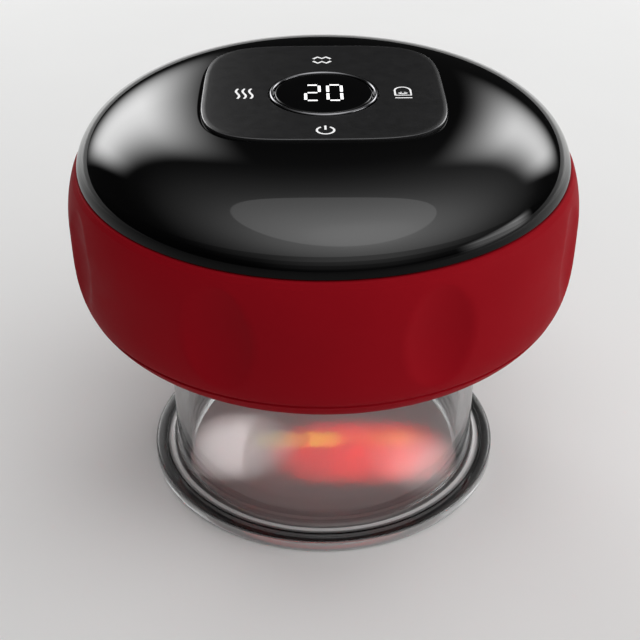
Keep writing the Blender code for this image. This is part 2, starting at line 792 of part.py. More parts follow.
def build_top_cover():
    outer = dome_outline(DOME_STEPS)
    inner = dome_outline(DOME_BACK_STEPS, DOME_WALL)
    cover = turned("top_cover", [*outer, *reversed(inner)], SHELL_STEPS, BLACK_GLOSS)
    skirt_low = RIM_Z - SKIRT_DEPTH
    skirt_bore = SKIRT_RADIUS - SKIRT_WALL
    snap_top = skirt_low + 2 * SNAP_HEIGHT
    skirt_profile = [
        (skirt_bore, RIM_Z + SKIRT_REACH_UP),
        (SKIRT_RADIUS, RIM_Z + SKIRT_REACH_UP),
        (SKIRT_RADIUS, snap_top),
        (SKIRT_RADIUS + SNAP_REACH, snap_top - SNAP_HEIGHT),
        (SKIRT_RADIUS, skirt_low),
        (skirt_bore, skirt_low),
    ]
    skirt = turned("cover_skirt", skirt_profile, SHELL_STEPS)
    join(cover, place(skirt, turn=Matrix.Rotation(HALF_TURN / SHELL_STEPS, 4, "Z")))
    boss_top = dome_height_at(BOARD_SCREW_CIRCLE + BOARD_BOSS_RADIUS) - DOME_WALL / 2
    for k, spot in enumerate(board_screw_spots(0)):
        boss = disc(f"board_boss_{k}", BOARD_BOSS_RADIUS, BOARD_TOP_Z + SEAT_GAP, boss_top, SMALL_STEPS)
        join(cover, place(boss, spot))
    hole_radius = BOARD_SCREW_RADIUS + SEAT_GAP
    hole_high = BOARD_Z + BOARD_SCREW_LENGTH
    pierce(cover, "board_boss_hole", hole_radius, board_screw_spots(0), BOARD_Z, hole_high)
    half_x = PANEL_HALF_X + SEAT_GAP
    half_y = PANEL_HALF_Y + SEAT_GAP
    outline = squircle(half_x, half_y, PANEL_POWER, OUTLINE_POINTS, PANEL_SETBACK)
    pocket = plate("panel_pocket", outline, PANEL_FLOOR_Z, DOME_TOP_Z + OVERRUN)
    opening = disc("display_hole", DISPLAY_HOLE_RADIUS, DOME_INNER_Z - OVERRUN, DOME_TOP_Z + OVERRUN)
    cut(cover, pocket, opening)


def build_touch_panel():
    outline = squircle(PANEL_HALF_X, PANEL_HALF_Y, PANEL_POWER, OUTLINE_POINTS, PANEL_SETBACK)
    panel = plate("touch_panel", outline, PANEL_Z, PANEL_Z + PANEL_THICK, BLACK_MATT)
    edge = panel.modifiers.new("edge", "BEVEL")
    edge.width = PANEL_CHAMFER
    edge.segments = 1
    edge.limit_method = "ANGLE"
    edge.angle_limit = math.radians(60)
    low = PANEL_Z - OVERRUN
    high = PANEL_Z + PANEL_THICK + OVERRUN
    cut(panel, disc("panel_hole", RING_RADIUS + SEAT_GAP, low, high, RING_STEPS))
    ring("window_ring", RING_RADIUS, RING_BORE, PANEL_Z, PANEL_Z + RING_THICK, RING_STEPS, BRIGHT_METAL)
    disc("display_window", WINDOW_RADIUS, PANEL_Z, PANEL_Z + WINDOW_THICK, RING_STEPS, SMOKED_LENS)


def build_main_board():
    board = disc("main_board", BOARD_RADIUS, BOARD_Z, BOARD_TOP_Z, RING_STEPS, CIRCUIT_GREEN)
    hole_radius = BOARD_SCREW_RADIUS + SEAT_GAP
    pierce(board, "board_hole", hole_radius, board_screw_spots(0), BOARD_Z - OVERRUN, BOARD_TOP_Z + OVERRUN)
    for k, (size, spot) in enumerate(zip(CHIP_SIZES, CHIP_PLACES)):
        join(board, box(f"chip_{k}", size, (spot.x, spot.y, BOARD_TOP_Z + size.z / 2 - EMBED)))
    low = Vector((-DISPLAY_WIDTH / 2, -DISPLAY_DEPTH / 2, BOARD_TOP_Z + SEAT_GAP))
    high = Vector((DISPLAY_WIDTH / 2, DISPLAY_DEPTH / 2, PANEL_FLOOR_Z))
    box_between("display_module", low, high, WHITE_PLASTIC)
    length = BOARD_SCREW_LENGTH - SEAT_GAP
    tips = [spot + Vector((0, 0, BOARD_Z - SEAT_GAP + length)) for spot in board_screw_spots(0)]
    screws("board_screw", tips, BOARD_SCREW_RADIUS, length, Matrix.Rotation(HALF_TURN, 4, "X"))


def build_touch_springs():
    """Coils that carry the sense signal from the board to the cover under each touch icon."""
    places = {
        "power": (0, -KEY_FRONT_OFFSET),
        "mode": (0, KEY_FRONT_OFFSET),
        "heat": (-KEY_SIDE_OFFSET, 0),
        "suction": (KEY_SIDE_OFFSET, 0),
    }
    low = BOARD_TOP_Z + SEAT_GAP + KEY_SPRING_WIRE
    high = DOME_INNER_Z - SEAT_GAP - KEY_SPRING_WIRE
    points = coil(KEY_SPRING_RADIUS, KEY_SPRING_TURNS, low, high)
    gap = least_gap(points, KEY_SPRING_TURNS, KEY_SPRING_WIRE)
    print("touch spring, least gap between turns, as a share of its wire:", round(gap / KEY_SPRING_WIRE, 2))
    for key, (x, y) in places.items():
        spring = meshed(poly_curve(f"touch_spring_{key}", points, KEY_SPRING_WIRE, 0), COPPER)
        place(spring, (x, y, 0))


def lug_angles():
    return angles(LUG_COUNT, FIRST_LUG_ANGLE)


def build_suction_cup():
    fillet = []
    for k in range(FLANGE_FILLET_STEPS + 1):
        angle = QUARTER_TURN * k / FLANGE_FILLET_STEPS
        radius = CUP_RADIUS + FLANGE_FILLET * (1 - math.cos(angle))
        fillet.append((radius, FLANGE_THICK + FLANGE_FILLET * (1 - math.sin(angle))))
    profile = [
        (CUP_BORE, CUP_HEIGHT),
        (CUP_RADIUS - MOUTH_CHAMFER, CUP_HEIGHT),
        (CUP_RADIUS, CUP_HEIGHT - MOUTH_CHAMFER),
        *fillet,
        (FLANGE_RADIUS - FLANGE_EDGE, FLANGE_THICK),
        (FLANGE_RADIUS, FLANGE_THICK - FLANGE_EDGE),
        (FLANGE_RADIUS, FLANGE_EDGE),
        (FLANGE_RADIUS - FLANGE_EDGE, 0),
        (CUP_BORE + FLANGE_EDGE, 0),
        (CUP_BORE, FLANGE_EDGE),
    ]
    cup = turned("suction_cup", profile, SHELL_STEPS, CLEAR_SMOKE)
    climb = THREAD_LEAD * LUG_SPAN / FULL_TURN
    top = CUP_HEIGHT - MOUTH_CHAMFER - climb
    for k, angle in enumerate(lug_angles()):
        first = angle - LUG_SPAN / 2
        foot = CUP_RADIUS - EMBED
        bar = helical_bar(f"lug_{k}", foot, LUG_RADIUS, top - LUG_HEIGHT, top, first, LUG_SPAN, LUG_STEPS)
        join(cup, bar)


def build_cup_seal():
    low = CUP_HEIGHT + SEAT_GAP
    ring("cup_seal", CUP_BORE + SEAL_WIDTH, CUP_BORE, low, low + SEAL_THICK, RING_STEPS, SILICONE)


def build_cup_socket():
    profile = [
        (0, CEILING_TOP_Z),
        (CEILING_RADIUS, CEILING_TOP_Z),
        (CEILING_RADIUS, CEILING_Z),
        (SOCKET_RADIUS, CEILING_Z),
        (SOCKET_RADIUS, SOCKET_Z),
        (SOCKET_BORE, SOCKET_Z),
        (SOCKET_BORE, CEILING_Z),
        (0, CEILING_Z),
    ]
    socket = turned("cup_socket", profile, SHELL_STEPS, BLACK_PLASTIC)
    lug_bottom = CUP_HEIGHT - MOUTH_CHAMFER - THREAD_LEAD * LUG_SPAN / FULL_TURN - LUG_HEIGHT
    ramp_span = LUG_SPAN + CUP_TURN
    ramp_top = lug_bottom - SLIDE_GAP - THREAD_LEAD * CUP_TURN / FULL_TURN
    for k, angle in enumerate(lug_angles()):
        first = angle - LUG_SPAN / 2 - CUP_TURN
        ramp = helical_bar(
            f"ramp_{k}",
            CUP_RADIUS + SLIDE_GAP,
            SOCKET_BORE + EMBED,
            ramp_top - RAMP_HEIGHT,
            ramp_top,
            first,
            ramp_span,
            RAMP_STEPS,
        )
        join(socket, ramp)
    nipple_high = CEILING_TOP_Z + NIPPLE_HEIGHT
    nipple = disc("nipple", NIPPLE_RADIUS, CEILING_TOP_Z - EMBED, nipple_high, SMALL_STEPS)
    join(socket, place(nipple, turn=OFF_FACET))
    low = CEILING_Z - OVERRUN
    pierce(socket, "nipple_bore", NIPPLE_BORE, [ORIGIN], low, nipple_high + OVERRUN)
    high = CEILING_TOP_Z + OVERRUN
    pierce(socket, "socket_hole", SOCKET_SCREW_RADIUS + SEAT_GAP, socket_screw_spots(0), low, high)
    pierce(socket, "ceiling_hole", HEAD_SCREW_RADIUS + SEAT_GAP, head_screw_spots(0), low, high)


def inlet_low_z():
    return FRAME_TOP_Z + CHARGE_POST_HEIGHT + SEAT_GAP + CHARGE_BOARD_SIZE.z + SEAT_GAP


def inlet_centre_z():
    return inlet_low_z() + INLET_SIZE.z / 2


def charge_board_y():
    return DRUM_RADIUS - DRUM_WALL - INLET_SETBACK - CHARGE_BOARD_SIZE.y / 2 - SEAT_GAP


def charge_post_spots(height):
    offset = CHARGE_BOARD_SIZE.x / 2 - CHARGE_POST_RADIUS
    return [Vector((side * offset, charge_board_y(), height)) for side in (-1, 1)]


def saddle_places():
    clear_of_hose = -(HOSE_RADIUS + SEAT_GAP + SADDLE_THICK / 2)
    return [min(PUMP_X - MOTOR_LENGTH * share, clear_of_hose) for share in SADDLE_PLACES_SHARE]


def strap_x():
    return sum(saddle_places()) / len(saddle_places())


def build_inner_frame():
    frame = disc("inner_frame", FRAME_RADIUS, FRAME_Z, FRAME_TOP_Z, RING_STEPS, GREY_PLASTIC)
    tray_outer = BATTERY_SIZE + Vector((2 * (SEAT_GAP + TRAY_WALL), 2 * (SEAT_GAP + TRAY_WALL), 0))
    tray_inner = BATTERY_SIZE + Vector((2 * SEAT_GAP, 2 * SEAT_GAP, 0))
    tray = box(
        "tray",
        Vector((tray_outer.x, tray_outer.y, TRAY_HEIGHT + EMBED)),
        (0, BATTERY_Y, FRAME_TOP_Z + (TRAY_HEIGHT - EMBED) / 2),
    )
    hollow = box(
        "tray_hollow",
        Vector((tray_inner.x, tray_inner.y, 2 * TRAY_HEIGHT)),
        (0, BATTERY_Y, FRAME_TOP_Z + TRAY_HEIGHT),
    )
    join(frame, tray)
    cut(frame, hollow)
    for k, x in enumerate(saddle_places()):
        saddle = box(
            f"saddle_{k}",
            Vector((SADDLE_THICK, 2 * (MOTOR_RADIUS + STRAP_EAR), SADDLE_HEIGHT + EMBED)),
            (x, PUMP_Y, FRAME_TOP_Z + (SADDLE_HEIGHT - EMBED) / 2),
        )
        join(frame, saddle)
    bridge = box(
        "saddle_bridge",
        Vector((STRAP_WIDTH, 2 * (MOTOR_RADIUS + STRAP_EAR), SADDLE_HEIGHT + EMBED)),
        (strap_x(), PUMP_Y, FRAME_TOP_Z + (SADDLE_HEIGHT - EMBED) / 2),
    )
    join(frame, bridge)
    cradle = disc("cradle", MOTOR_RADIUS + SEAT_GAP, -MOTOR_LENGTH - OVERRUN, OVERRUN)
    cut(frame, place(cradle, (PUMP_X, PUMP_Y, PUMP_Z), ALONG_X))
    pad_x = PUMP_X + SEAT_GAP + (PUMP_BODY_LENGTH + PUMP_COVER_THICK) / 2
    pad_size = Vector((PUMP_PAD.x, PUMP_PAD.y, PUMP_REST + EMBED))
    join(frame, box("pump_pad", pad_size, (pad_x, PUMP_Y, FRAME_TOP_Z + (PUMP_REST - EMBED) / 2)))
    valve_pad_top = TEE_PLACE.z - VALVE_SIDE / 2 - SEAT_GAP
    valve_low = Vector((TEE_PLACE.x - VALVE_SIDE / 2, valve_wall_y() - VALVE_LENGTH, FRAME_TOP_Z - EMBED))
    valve_high = Vector((TEE_PLACE.x + VALVE_SIDE / 2, valve_wall_y(), valve_pad_top))
    join(frame, box_between("valve_pad", valve_low, valve_high))
    post_top = FRAME_TOP_Z + CHARGE_POST_HEIGHT
    for k, spot in enumerate(charge_post_spots(0)):
        post = disc(f"charge_post_{k}", CHARGE_POST_RADIUS, FRAME_TOP_Z - EMBED, post_top, SMALL_STEPS)
        join(frame, place(post, spot))
    low = FRAME_Z - OVERRUN
    high = FRAME_TOP_Z + OVERRUN
    pierce(frame, "frame_nipple_hole", FRAME_NIPPLE_HOLE, [ORIGIN], low, high)
    pierce(frame, "frame_hole", SOCKET_SCREW_RADIUS + SEAT_GAP, socket_screw_spots(0), low, high)
    top = FRAME_TOP_Z + SADDLE_HEIGHT
    hole_radius = STRAP_SCREW_RADIUS + SEAT_GAP
    pierce(frame, "strap_hole", hole_radius, strap_screw_spots(0), top - STRAP_SCREW_LENGTH, top + OVERRUN)
    tips = socket_screw_spots(FRAME_TOP_Z + SEAT_GAP - SOCKET_SCREW_LENGTH)
    screws("socket_screw", tips, SOCKET_SCREW_RADIUS, SOCKET_SCREW_LENGTH)


def strap_screw_spots(height):
    offset = MOTOR_RADIUS + STRAP_THICK + STRAP_EAR / 2
    return [Vector((strap_x(), PUMP_Y + side * offset, height)) for side in (-1, 1)]


def build_pump_strap():
    """A bent metal strap over the motor, with an ear screwed to the frame on each side."""
    ear_low = FRAME_TOP_Z + SADDLE_HEIGHT + SEAT_GAP
    ear_high = ear_low + STRAP_THICK
    bore = MOTOR_RADIUS + SEAT_GAP
    half = STRAP_WIDTH / 2
    strap = ring("pump_strap", bore + STRAP_THICK, bore, -half, half, ROUND_STEPS, STEEL)
    place(strap, (strap_x(), PUMP_Y, PUMP_Z), ALONG_X)
    reach = bore + STRAP_THICK + STRAP_EAR
    below = Vector((2 * STRAP_WIDTH, 4 * reach, PUMP_Z))
    for k, side in enumerate((-1, 1)):
        near = PUMP_Y + side * (math.sqrt(bore**2 - (PUMP_Z - ear_high) ** 2) + STRAP_THICK / 2)
        far = PUMP_Y + side * reach
        low = Vector((strap_x() - half, min(near, far), ear_low))
        high = Vector((strap_x() + half, max(near, far), ear_high))
        join(strap, box_between(f"strap_ear_{k}", low, high))
    cut(strap, box("strap_trim", below, (strap_x(), PUMP_Y, ear_low - below.z / 2)))
    hole_radius = STRAP_SCREW_RADIUS + SEAT_GAP
    pierce(strap, "ear_hole", hole_radius, strap_screw_spots(0), ear_low - OVERRUN, ear_high + OVERRUN)
    tips = strap_screw_spots(ear_high + SEAT_GAP - STRAP_SCREW_LENGTH)
    screws("strap_screw", tips, STRAP_SCREW_RADIUS, STRAP_SCREW_LENGTH)


def build_battery():
    centre = (0, BATTERY_Y, FRAME_TOP_Z + SEAT_GAP + BATTERY_SIZE.z / 2)
    box("battery", BATTERY_SIZE, centre, BATTERY_FOIL, BATTERY_CORNER)


def build_charging_inlet():
    board_low = FRAME_TOP_Z + CHARGE_POST_HEIGHT + SEAT_GAP
    board_centre = (0, charge_board_y(), board_low + CHARGE_BOARD_SIZE.z / 2)
    box("charge_board", CHARGE_BOARD_SIZE, board_centre, CIRCUIT_GREEN)
    mouth_y = DRUM_RADIUS - INLET_SETBACK
    back_y = mouth_y - INLET_SIZE.y
    centre_z = inlet_centre_z()
    socket_centre = (0, mouth_y - INLET_SIZE.y / 2, centre_z)
    socket = box("charge_socket", INLET_SIZE, socket_centre, STEEL, INLET_CORNER)
    hollow_size = Vector((INLET_SIZE.x - 2 * INLET_WALL, INLET_SIZE.y, INLET_SIZE.z - 2 * INLET_WALL))
    hollow_y = back_y + INLET_BACK + INLET_SIZE.y / 2
    cut(socket, box("inlet_hollow", hollow_size, (0, hollow_y, centre_z), corner=INLET_CORNER - INLET_WALL))
    tongue_size = INLET_TONGUE + Vector((0, EMBED, 0))
    tongue_y = back_y + INLET_BACK + (INLET_TONGUE.y - EMBED) / 2
    join(socket, box("inlet_tongue", tongue_size, (0, tongue_y, centre_z)))


def pump_frame():
    """The pump's own frame: its axis is local Z, and its origin is the joint of motor and pump."""
    return Matrix.Translation((PUMP_X, PUMP_Y, PUMP_Z)) @ ALONG_X


def on_pump(obj):
    """Lays a piece that was turned about Z along the pump's axis, its origin on that axis."""
    obj.matrix_world = pump_frame()
    return obj


def build_motor():
    profile = [
        (SHAFT_RADIUS + SEAT_GAP, 0),
        (MOTOR_RADIUS, 0),
        (MOTOR_RADIUS, -MOTOR_LENGTH),
        (MOTOR_BORE, -MOTOR_LENGTH),
        (MOTOR_BORE, -MOTOR_WALL),
        (SHAFT_RADIUS + SEAT_GAP, -MOTOR_WALL),
    ]
    on_pump(turned("pump_motor_can", profile, ROUND_STEPS, STEEL))
    cap_top = -MOTOR_LENGTH - SEAT_GAP
    cap_low = cap_top - MOTOR_CAP_THICK
    cap_bore = SHAFT_RADIUS + SEAT_GAP
    on_pump(ring("motor_end_cap", MOTOR_RADIUS, cap_bore, cap_low, cap_top, ROUND_STEPS, WHITE_PLASTIC))
    magnet_low = -MOTOR_LENGTH + MAGNET_MARGIN
    magnet_high = -MAGNET_MARGIN
    magnet_bore = MAGNET_RADIUS - MAGNET_WALL
    on_pump(ring("motor_magnet", MAGNET_RADIUS, magnet_bore, magnet_low, magnet_high, ROUND_STEPS, FERRITE))
    shaft_top = eccentric_low() + ECCENTRIC_THICK - ECCENTRIC_FLOOR - SEAT_GAP
    shaft_low = cap_low - SHAFT_TAIL
    rotor_profile = [
        (0, shaft_top),
        (SHAFT_RADIUS, shaft_top),
        (SHAFT_RADIUS, -ROTOR_MARGIN),
        (ROTOR_RADIUS, -ROTOR_MARGIN),
        (ROTOR_RADIUS, -MOTOR_LENGTH + ROTOR_MARGIN),
        (SHAFT_RADIUS, -MOTOR_LENGTH + ROTOR_MARGIN),
        (SHAFT_RADIUS, shaft_low),
        (0, shaft_low),
    ]
    on_pump(turned("motor_rotor", rotor_profile, ROUND_STEPS, COPPER))


def eccentric_low():
    return SEAT_GAP + PUMP_BODY_WALL + SLIDE_GAP


def tilted_at_pivot():
    """The wobble plate's frame in pump coordinates: its pivot on the axis, leaning by the pin's tilt."""
    return Matrix.Translation((0, 0, WOBBLE_HEIGHT)) @ Matrix.Rotation(WOBBLE_TILT, 4, "Y")


def build_crank():
    """The eccentric with its slanted pin, and the plate that wobbles on the pin."""
    low = eccentric_low()
    high = low + ECCENTRIC_THICK
    eccentric = disc("eccentric", ECCENTRIC_RADIUS, low, high, ROUND_STEPS, BLACK_PLASTIC)
    bore_high = high - ECCENTRIC_FLOOR
    bore = disc("eccentric_bore", SHAFT_RADIUS + SEAT_GAP, low - OVERRUN, bore_high, SMALL_STEPS)
    pin_foot = -(WOBBLE_HEIGHT - high) - EMBED
    pin = disc("crank_pin", CRANK_PIN_RADIUS, pin_foot, PLATE_THICK / 2, SMALL_STEPS)
    on_pump(eccentric)
    cut(eccentric, on_pump(bore))
    pin.matrix_world = pump_frame() @ tilted_at_pivot()
    join(eccentric, pin)

    hub_low = -PLATE_THICK / 2 - PLATE_HUB_LENGTH
    bore_radius = CRANK_PIN_RADIUS + PIN_PLAY
    profile = [
        (bore_radius, PLATE_THICK / 2),
        (PLATE_RADIUS, PLATE_THICK / 2),
        (PLATE_RADIUS, -PLATE_THICK / 2),
        (PLATE_HUB_RADIUS, -PLATE_THICK / 2),
        (PLATE_HUB_RADIUS, hub_low),
        (bore_radius, hub_low),
    ]
    swing = turned("swing_plate", profile, ROUND_STEPS, WHITE_PLASTIC)
    swing.matrix_world = pump_frame() @ tilted_at_pivot()


def pump_block(name, low, high, finish, corner=0.0):
    """A square slice of the pump head between two heights on its axis."""
    half = PUMP_SIDE / 2
    return box_between(name, (-half, -half, low), (half, half, high), finish, corner)


def build_pump_head():
    body_low = SEAT_GAP
    body_high = body_low + PUMP_BODY_LENGTH
    body = pump_block("pump_body", body_low, body_high, BLACK_PLASTIC, PUMP_CORNER)
    cut(body, disc("pump_cavity", PUMP_CAVITY_RADIUS, body_low + PUMP_BODY_WALL, body_high + OVERRUN))
    hole_top = body_low + 2 * PUMP_BODY_WALL
    pierce(body, "body_shaft_hole", SHAFT_RADIUS + SEAT_GAP, [ORIGIN], body_low - OVERRUN, hole_top)

    skin_low = body_high + SEAT_GAP
    skin_high = skin_low + DIAPHRAGM_THICK
    diaphragm = disc("pump_diaphragm", DIAPHRAGM_RADIUS, skin_low, skin_high, ROUND_STEPS, RUBBER)
    plate_top = PLATE_THICK / 2 / math.cos(WOBBLE_TILT)
    slope = math.tan(WOBBLE_TILT)
    for k, angle in enumerate(angles(DIAPHRAGM_CUPS)):
        spot = on_circle(DIAPHRAGM_CUP_CIRCLE, angle)
        surface = WOBBLE_HEIGHT + plate_top - spot.x * slope
        low = surface + DIAPHRAGM_CUP_RADIUS * slope + SEAT_GAP
        pocket = disc(f"diaphragm_cup_{k}", DIAPHRAGM_CUP_RADIUS, low, skin_high - EMBED / 2, SMALL_STEPS)
        join(diaphragm, place(pocket, spot))

    valve_low = skin_high + SEAT_GAP
    valve_high = valve_low + VALVE_PLATE_THICK
    valve_plate = pump_block("pump_valve_plate", valve_low, valve_high, WHITE_PLASTIC)
    valve_spots = [on_circle(DIAPHRAGM_CUP_CIRCLE, angle) for angle in angles(DIAPHRAGM_CUPS)]
    low = valve_low - OVERRUN
    pierce(valve_plate, "valve_hole", VALVE_HOLE_RADIUS, valve_spots, low, valve_high + OVERRUN)

    cover_low = valve_high + SEAT_GAP
    cover_high = cover_low + PUMP_COVER_THICK
    cover = pump_block("pump_cover", cover_low, cover_high, BLACK_PLASTIC, PUMP_CORNER)
    nozzle_high = cover_high + NOZZLE_LENGTH
    join(cover, disc("pump_nozzle", NOZZLE_RADIUS, cover_high - EMBED, nozzle_high, SMALL_STEPS))
    chamber_high = cover_low + PUMP_CHAMBER_DEPTH
    cut(cover, disc("pump_chamber", PUMP_CHAMBER_RADIUS, cover_low - OVERRUN, chamber_high))
    pierce(cover, "pump_nozzle_bore", NOZZLE_BORE, [ORIGIN], cover_low, nozzle_high + OVERRUN)

    spots = [Vector((side * PUMP_SCREW_OFFSET, side * PUMP_SCREW_OFFSET, 0)) for side in (-1, 1)]
    tip = cover_high + SEAT_GAP - PUMP_SCREW_LENGTH
    for piece in (body, valve_plate, cover):
        hole_radius = PUMP_SCREW_RADIUS + SEAT_GAP
        pierce(piece, piece.name + "_screw_hole", hole_radius, spots, tip - SEAT_GAP, cover_high + OVERRUN)
    for piece in (body, diaphragm, valve_plate, cover):
        lay_with_tools(piece)
    for made, spot in zip(screws("pump_screw", spots, PUMP_SCREW_RADIUS, PUMP_SCREW_LENGTH), spots):
        made.matrix_world = pump_frame() @ Matrix.Translation(spot + Vector((0, 0, tip)))
    return cover_high


def lay_with_tools(piece):
    """Lays a piece and the tools that shape it along the pump's axis together."""
    for step in piece.modifiers:
        if step.type == "BOOLEAN":
            step.object.matrix_world = pump_frame() @ step.object.matrix_world
    on_pump(piece)


def valve_wall_y():
    """The release valve's front wall, one nozzle and a hose gap away from the tee."""
    return TEE_PLACE.y - TEE_ARM - SEAT_GAP - VALVE_NOZZLE_LENGTH


def build_release_valve():
    """A solenoid valve whose plunger closes the port, all turned about an axis along Y."""
    bore = VALVE_BORE_RADIUS
    tube = bore + BOBBIN_WALL
    half = VALVE_SIDE / 2
    inner_half = half - VALVE_YOKE_WALL
    flange = inner_half - SEAT_GAP
    bobbin_high = -VALVE_YOKE_WALL - SEAT_GAP
    bobbin_low = -VALVE_LENGTH + VALVE_YOKE_WALL + SEAT_GAP
    seat_low = bobbin_high - VALVE_SEAT_THICK
    nozzle_top = VALVE_NOZZLE_LENGTH
    profile = [
        (NOZZLE_BORE, nozzle_top),
        (NOZZLE_RADIUS, nozzle_top),
        (NOZZLE_RADIUS, bobbin_high),
        (flange, bobbin_high),
        (flange, bobbin_high - BOBBIN_FLANGE),
        (tube, bobbin_high - BOBBIN_FLANGE),
        (tube, bobbin_low + BOBBIN_FLANGE),
        (flange, bobbin_low + BOBBIN_FLANGE),
        (flange, bobbin_low),
        (bore, bobbin_low),
        (bore, seat_low),
        (NOZZLE_BORE, seat_low),
    ]
    pieces = [turned("valve_bobbin", profile, ROUND_STEPS, WHITE_PLASTIC)]
    coil_high = bobbin_high - BOBBIN_FLANGE - SEAT_GAP
    coil_low = bobbin_low + BOBBIN_FLANGE + SEAT_GAP
    pieces.append(ring("valve_coil", flange, tube + SEAT_GAP, coil_low, coil_high, ROUND_STEPS, COPPER))

    core_stop = seat_low - PLUNGER_TRAVEL - PLUNGER_TIP_LENGTH - PLUNGER_LENGTH - SEAT_GAP - PIN_PLAY
    core_head_top = -VALVE_LENGTH - SEAT_GAP
    core_head_low = core_head_top - CORE_HEAD_THICK
    core_profile = [
        (0, core_stop),
        (bore - SEAT_GAP, core_stop),
        (bore - SEAT_GAP, core_head_top),
        (CORE_HEAD_RADIUS, core_head_top),
        (CORE_HEAD_RADIUS, core_head_low),
        (0, core_head_low),
    ]
    pieces.append(turned("valve_core", core_profile, ROUND_STEPS, STEEL))
    shoulder = core_stop + SEAT_GAP + PLUNGER_LENGTH
    plunger_profile = [
        (0, shoulder + PLUNGER_TIP_LENGTH),
        (PLUNGER_TIP_RADIUS, shoulder + PLUNGER_TIP_LENGTH),
        (PLUNGER_TIP_RADIUS, shoulder),
        (PLUNGER_RADIUS, shoulder),
        (PLUNGER_RADIUS, shoulder - PLUNGER_LENGTH),
        (0, shoulder - PLUNGER_LENGTH),
    ]
    pieces.append(turned("valve_plunger", plunger_profile, ROUND_STEPS, STEEL))
    low = shoulder + SEAT_GAP + VALVE_SPRING_WIRE
    high = seat_low - SEAT_GAP - VALVE_SPRING_WIRE
    points = coil(VALVE_SPRING_RADIUS, VALVE_SPRING_TURNS, low, high)
    wire = VALVE_SPRING_WIRE
    gap = least_gap(points, VALVE_SPRING_TURNS, wire)
    print("valve spring, least gap between turns, as a share of its wire:", round(gap / wire, 2))
    pieces.append(meshed(poly_curve("valve_spring", points, VALVE_SPRING_WIRE, 0), STEEL))
    for piece in pieces:
        place(piece, (TEE_PLACE.x, valve_wall_y(), TEE_PLACE.z), ALONG_Y)

    yoke_low = Vector((TEE_PLACE.x - half, valve_wall_y() - VALVE_LENGTH, TEE_PLACE.z - half))
    yoke_high = Vector((TEE_PLACE.x + half, valve_wall_y(), TEE_PLACE.z + half))
    yoke = box_between("valve_yoke", yoke_low, yoke_high, STEEL)
    margin = Vector((-OVERRUN, VALVE_YOKE_WALL, VALVE_YOKE_WALL))
    window = box_between("yoke_window", yoke_low + margin, yoke_high - margin)
    passage = disc("yoke_passage", bore + SEAT_GAP, -VALVE_LENGTH - OVERRUN, OVERRUN)
    place(passage, (TEE_PLACE.x, valve_wall_y(), TEE_PLACE.z), ALONG_Y)
    cut(yoke, window, passage)


def build_air_lines(cover_high):
    """The tee and the three hoses between pump, cup and release valve."""
    profile = [
        (NOZZLE_BORE, TEE_ARM),
        (NOZZLE_RADIUS, TEE_ARM),
        (NOZZLE_RADIUS, TEE_BODY_RADIUS),
        (TEE_BODY_RADIUS, TEE_BODY_RADIUS),
        (TEE_BODY_RADIUS, -TEE_BODY_RADIUS),
        (NOZZLE_RADIUS, -TEE_BODY_RADIUS),
        (NOZZLE_RADIUS, -TEE_ARM),
        (NOZZLE_BORE, -TEE_ARM),
    ]
    tee = turned("air_tee", profile, SMALL_STEPS, WHITE_PLASTIC)
    place(tee, TEE_PLACE, ALONG_Y)
    branch_root = -(NOZZLE_BORE + TEE_BODY_RADIUS) / 2
    branch = disc("tee_branch", NOZZLE_RADIUS, -TEE_ARM, branch_root, SMALL_STEPS)
    bore_low = -TEE_ARM - OVERRUN
    branch_bore = disc("tee_branch_bore", TEE_BRANCH_BORE, bore_low, -NOZZLE_BORE / 2, SMALL_STEPS)
    join(tee, place(branch, TEE_PLACE, ALONG_X))
    cut(tee, place(branch_bore, TEE_PLACE, ALONG_X))

    seat = HOSE_RADIUS + SEAT_GAP
    bend_x = Vector((HOSE_BEND, 0, 0))
    bend_y = Vector((0, HOSE_BEND, 0))
    bend_z = Vector((0, 0, HOSE_BEND))
    near_corner = 1 - math.cos(QUARTER_TURN / 2)
    pump_end = Vector((PUMP_X + cover_high + SEAT_GAP, PUMP_Y, PUMP_Z))
    pump_tip = pump_end + Vector((NOZZLE_LENGTH - SEAT_GAP, 0, 0))
    tee_front = TEE_PLACE + Vector((0, TEE_ARM, 0))
    pump_corner = Vector((TEE_PLACE.x, PUMP_Y, (pump_tip.z + tee_front.z) / 2))
    pump_knots = [
        pump_end,
        pump_tip,
        pump_corner - bend_x,
        pump_corner - (bend_x + bend_y) * near_corner,
        pump_corner - bend_y,
        tee_front,
        TEE_PLACE + Vector((0, seat, 0)),
    ]
    hose("pump_hose", pump_knots)
    nipple_foot = Vector((0, 0, FRAME_TOP_Z + SEAT_GAP))
    nipple_tip = Vector((0, 0, CEILING_TOP_Z + NIPPLE_HEIGHT))
    branch_tip = TEE_PLACE - Vector((TEE_ARM, 0, 0))
    cup_corner = nipple_tip + bend_z
    cup_knots = [
        nipple_foot,
        nipple_tip,
        cup_corner + (bend_x - bend_z) * near_corner,
        cup_corner + bend_x,
        (cup_corner + bend_x + branch_tip) / 2,
        branch_tip - bend_x,
        branch_tip,
        TEE_PLACE - Vector((seat, 0, 0)),
    ]
    hose("cup_hose", cup_knots)
    valve_end = Vector((TEE_PLACE.x, valve_wall_y() + SEAT_GAP, TEE_PLACE.z))
    hose("valve_hose", [TEE_PLACE - Vector((0, seat, 0)), valve_end], 1)


def lead_pair(name, plug_spot, routes):
    """Two wires that leave one plug under the main board, joined to it as one piece."""
    plug_low = plug_spot - Vector((PLUG_SIZE.x / 2, PLUG_SIZE.y / 2, PLUG_SIZE.z))
    plug = box_between(name, plug_low, plug_low + PLUG_SIZE, WHITE_PLASTIC)
    for k, knots in enumerate(routes):
        route = smooth_route(knots, LEAD_STEPS)
        join(plug, meshed(poly_curve(f"{name}_wire_{k}", route, LEAD_RADIUS, LEAD_RESOLUTION), None))


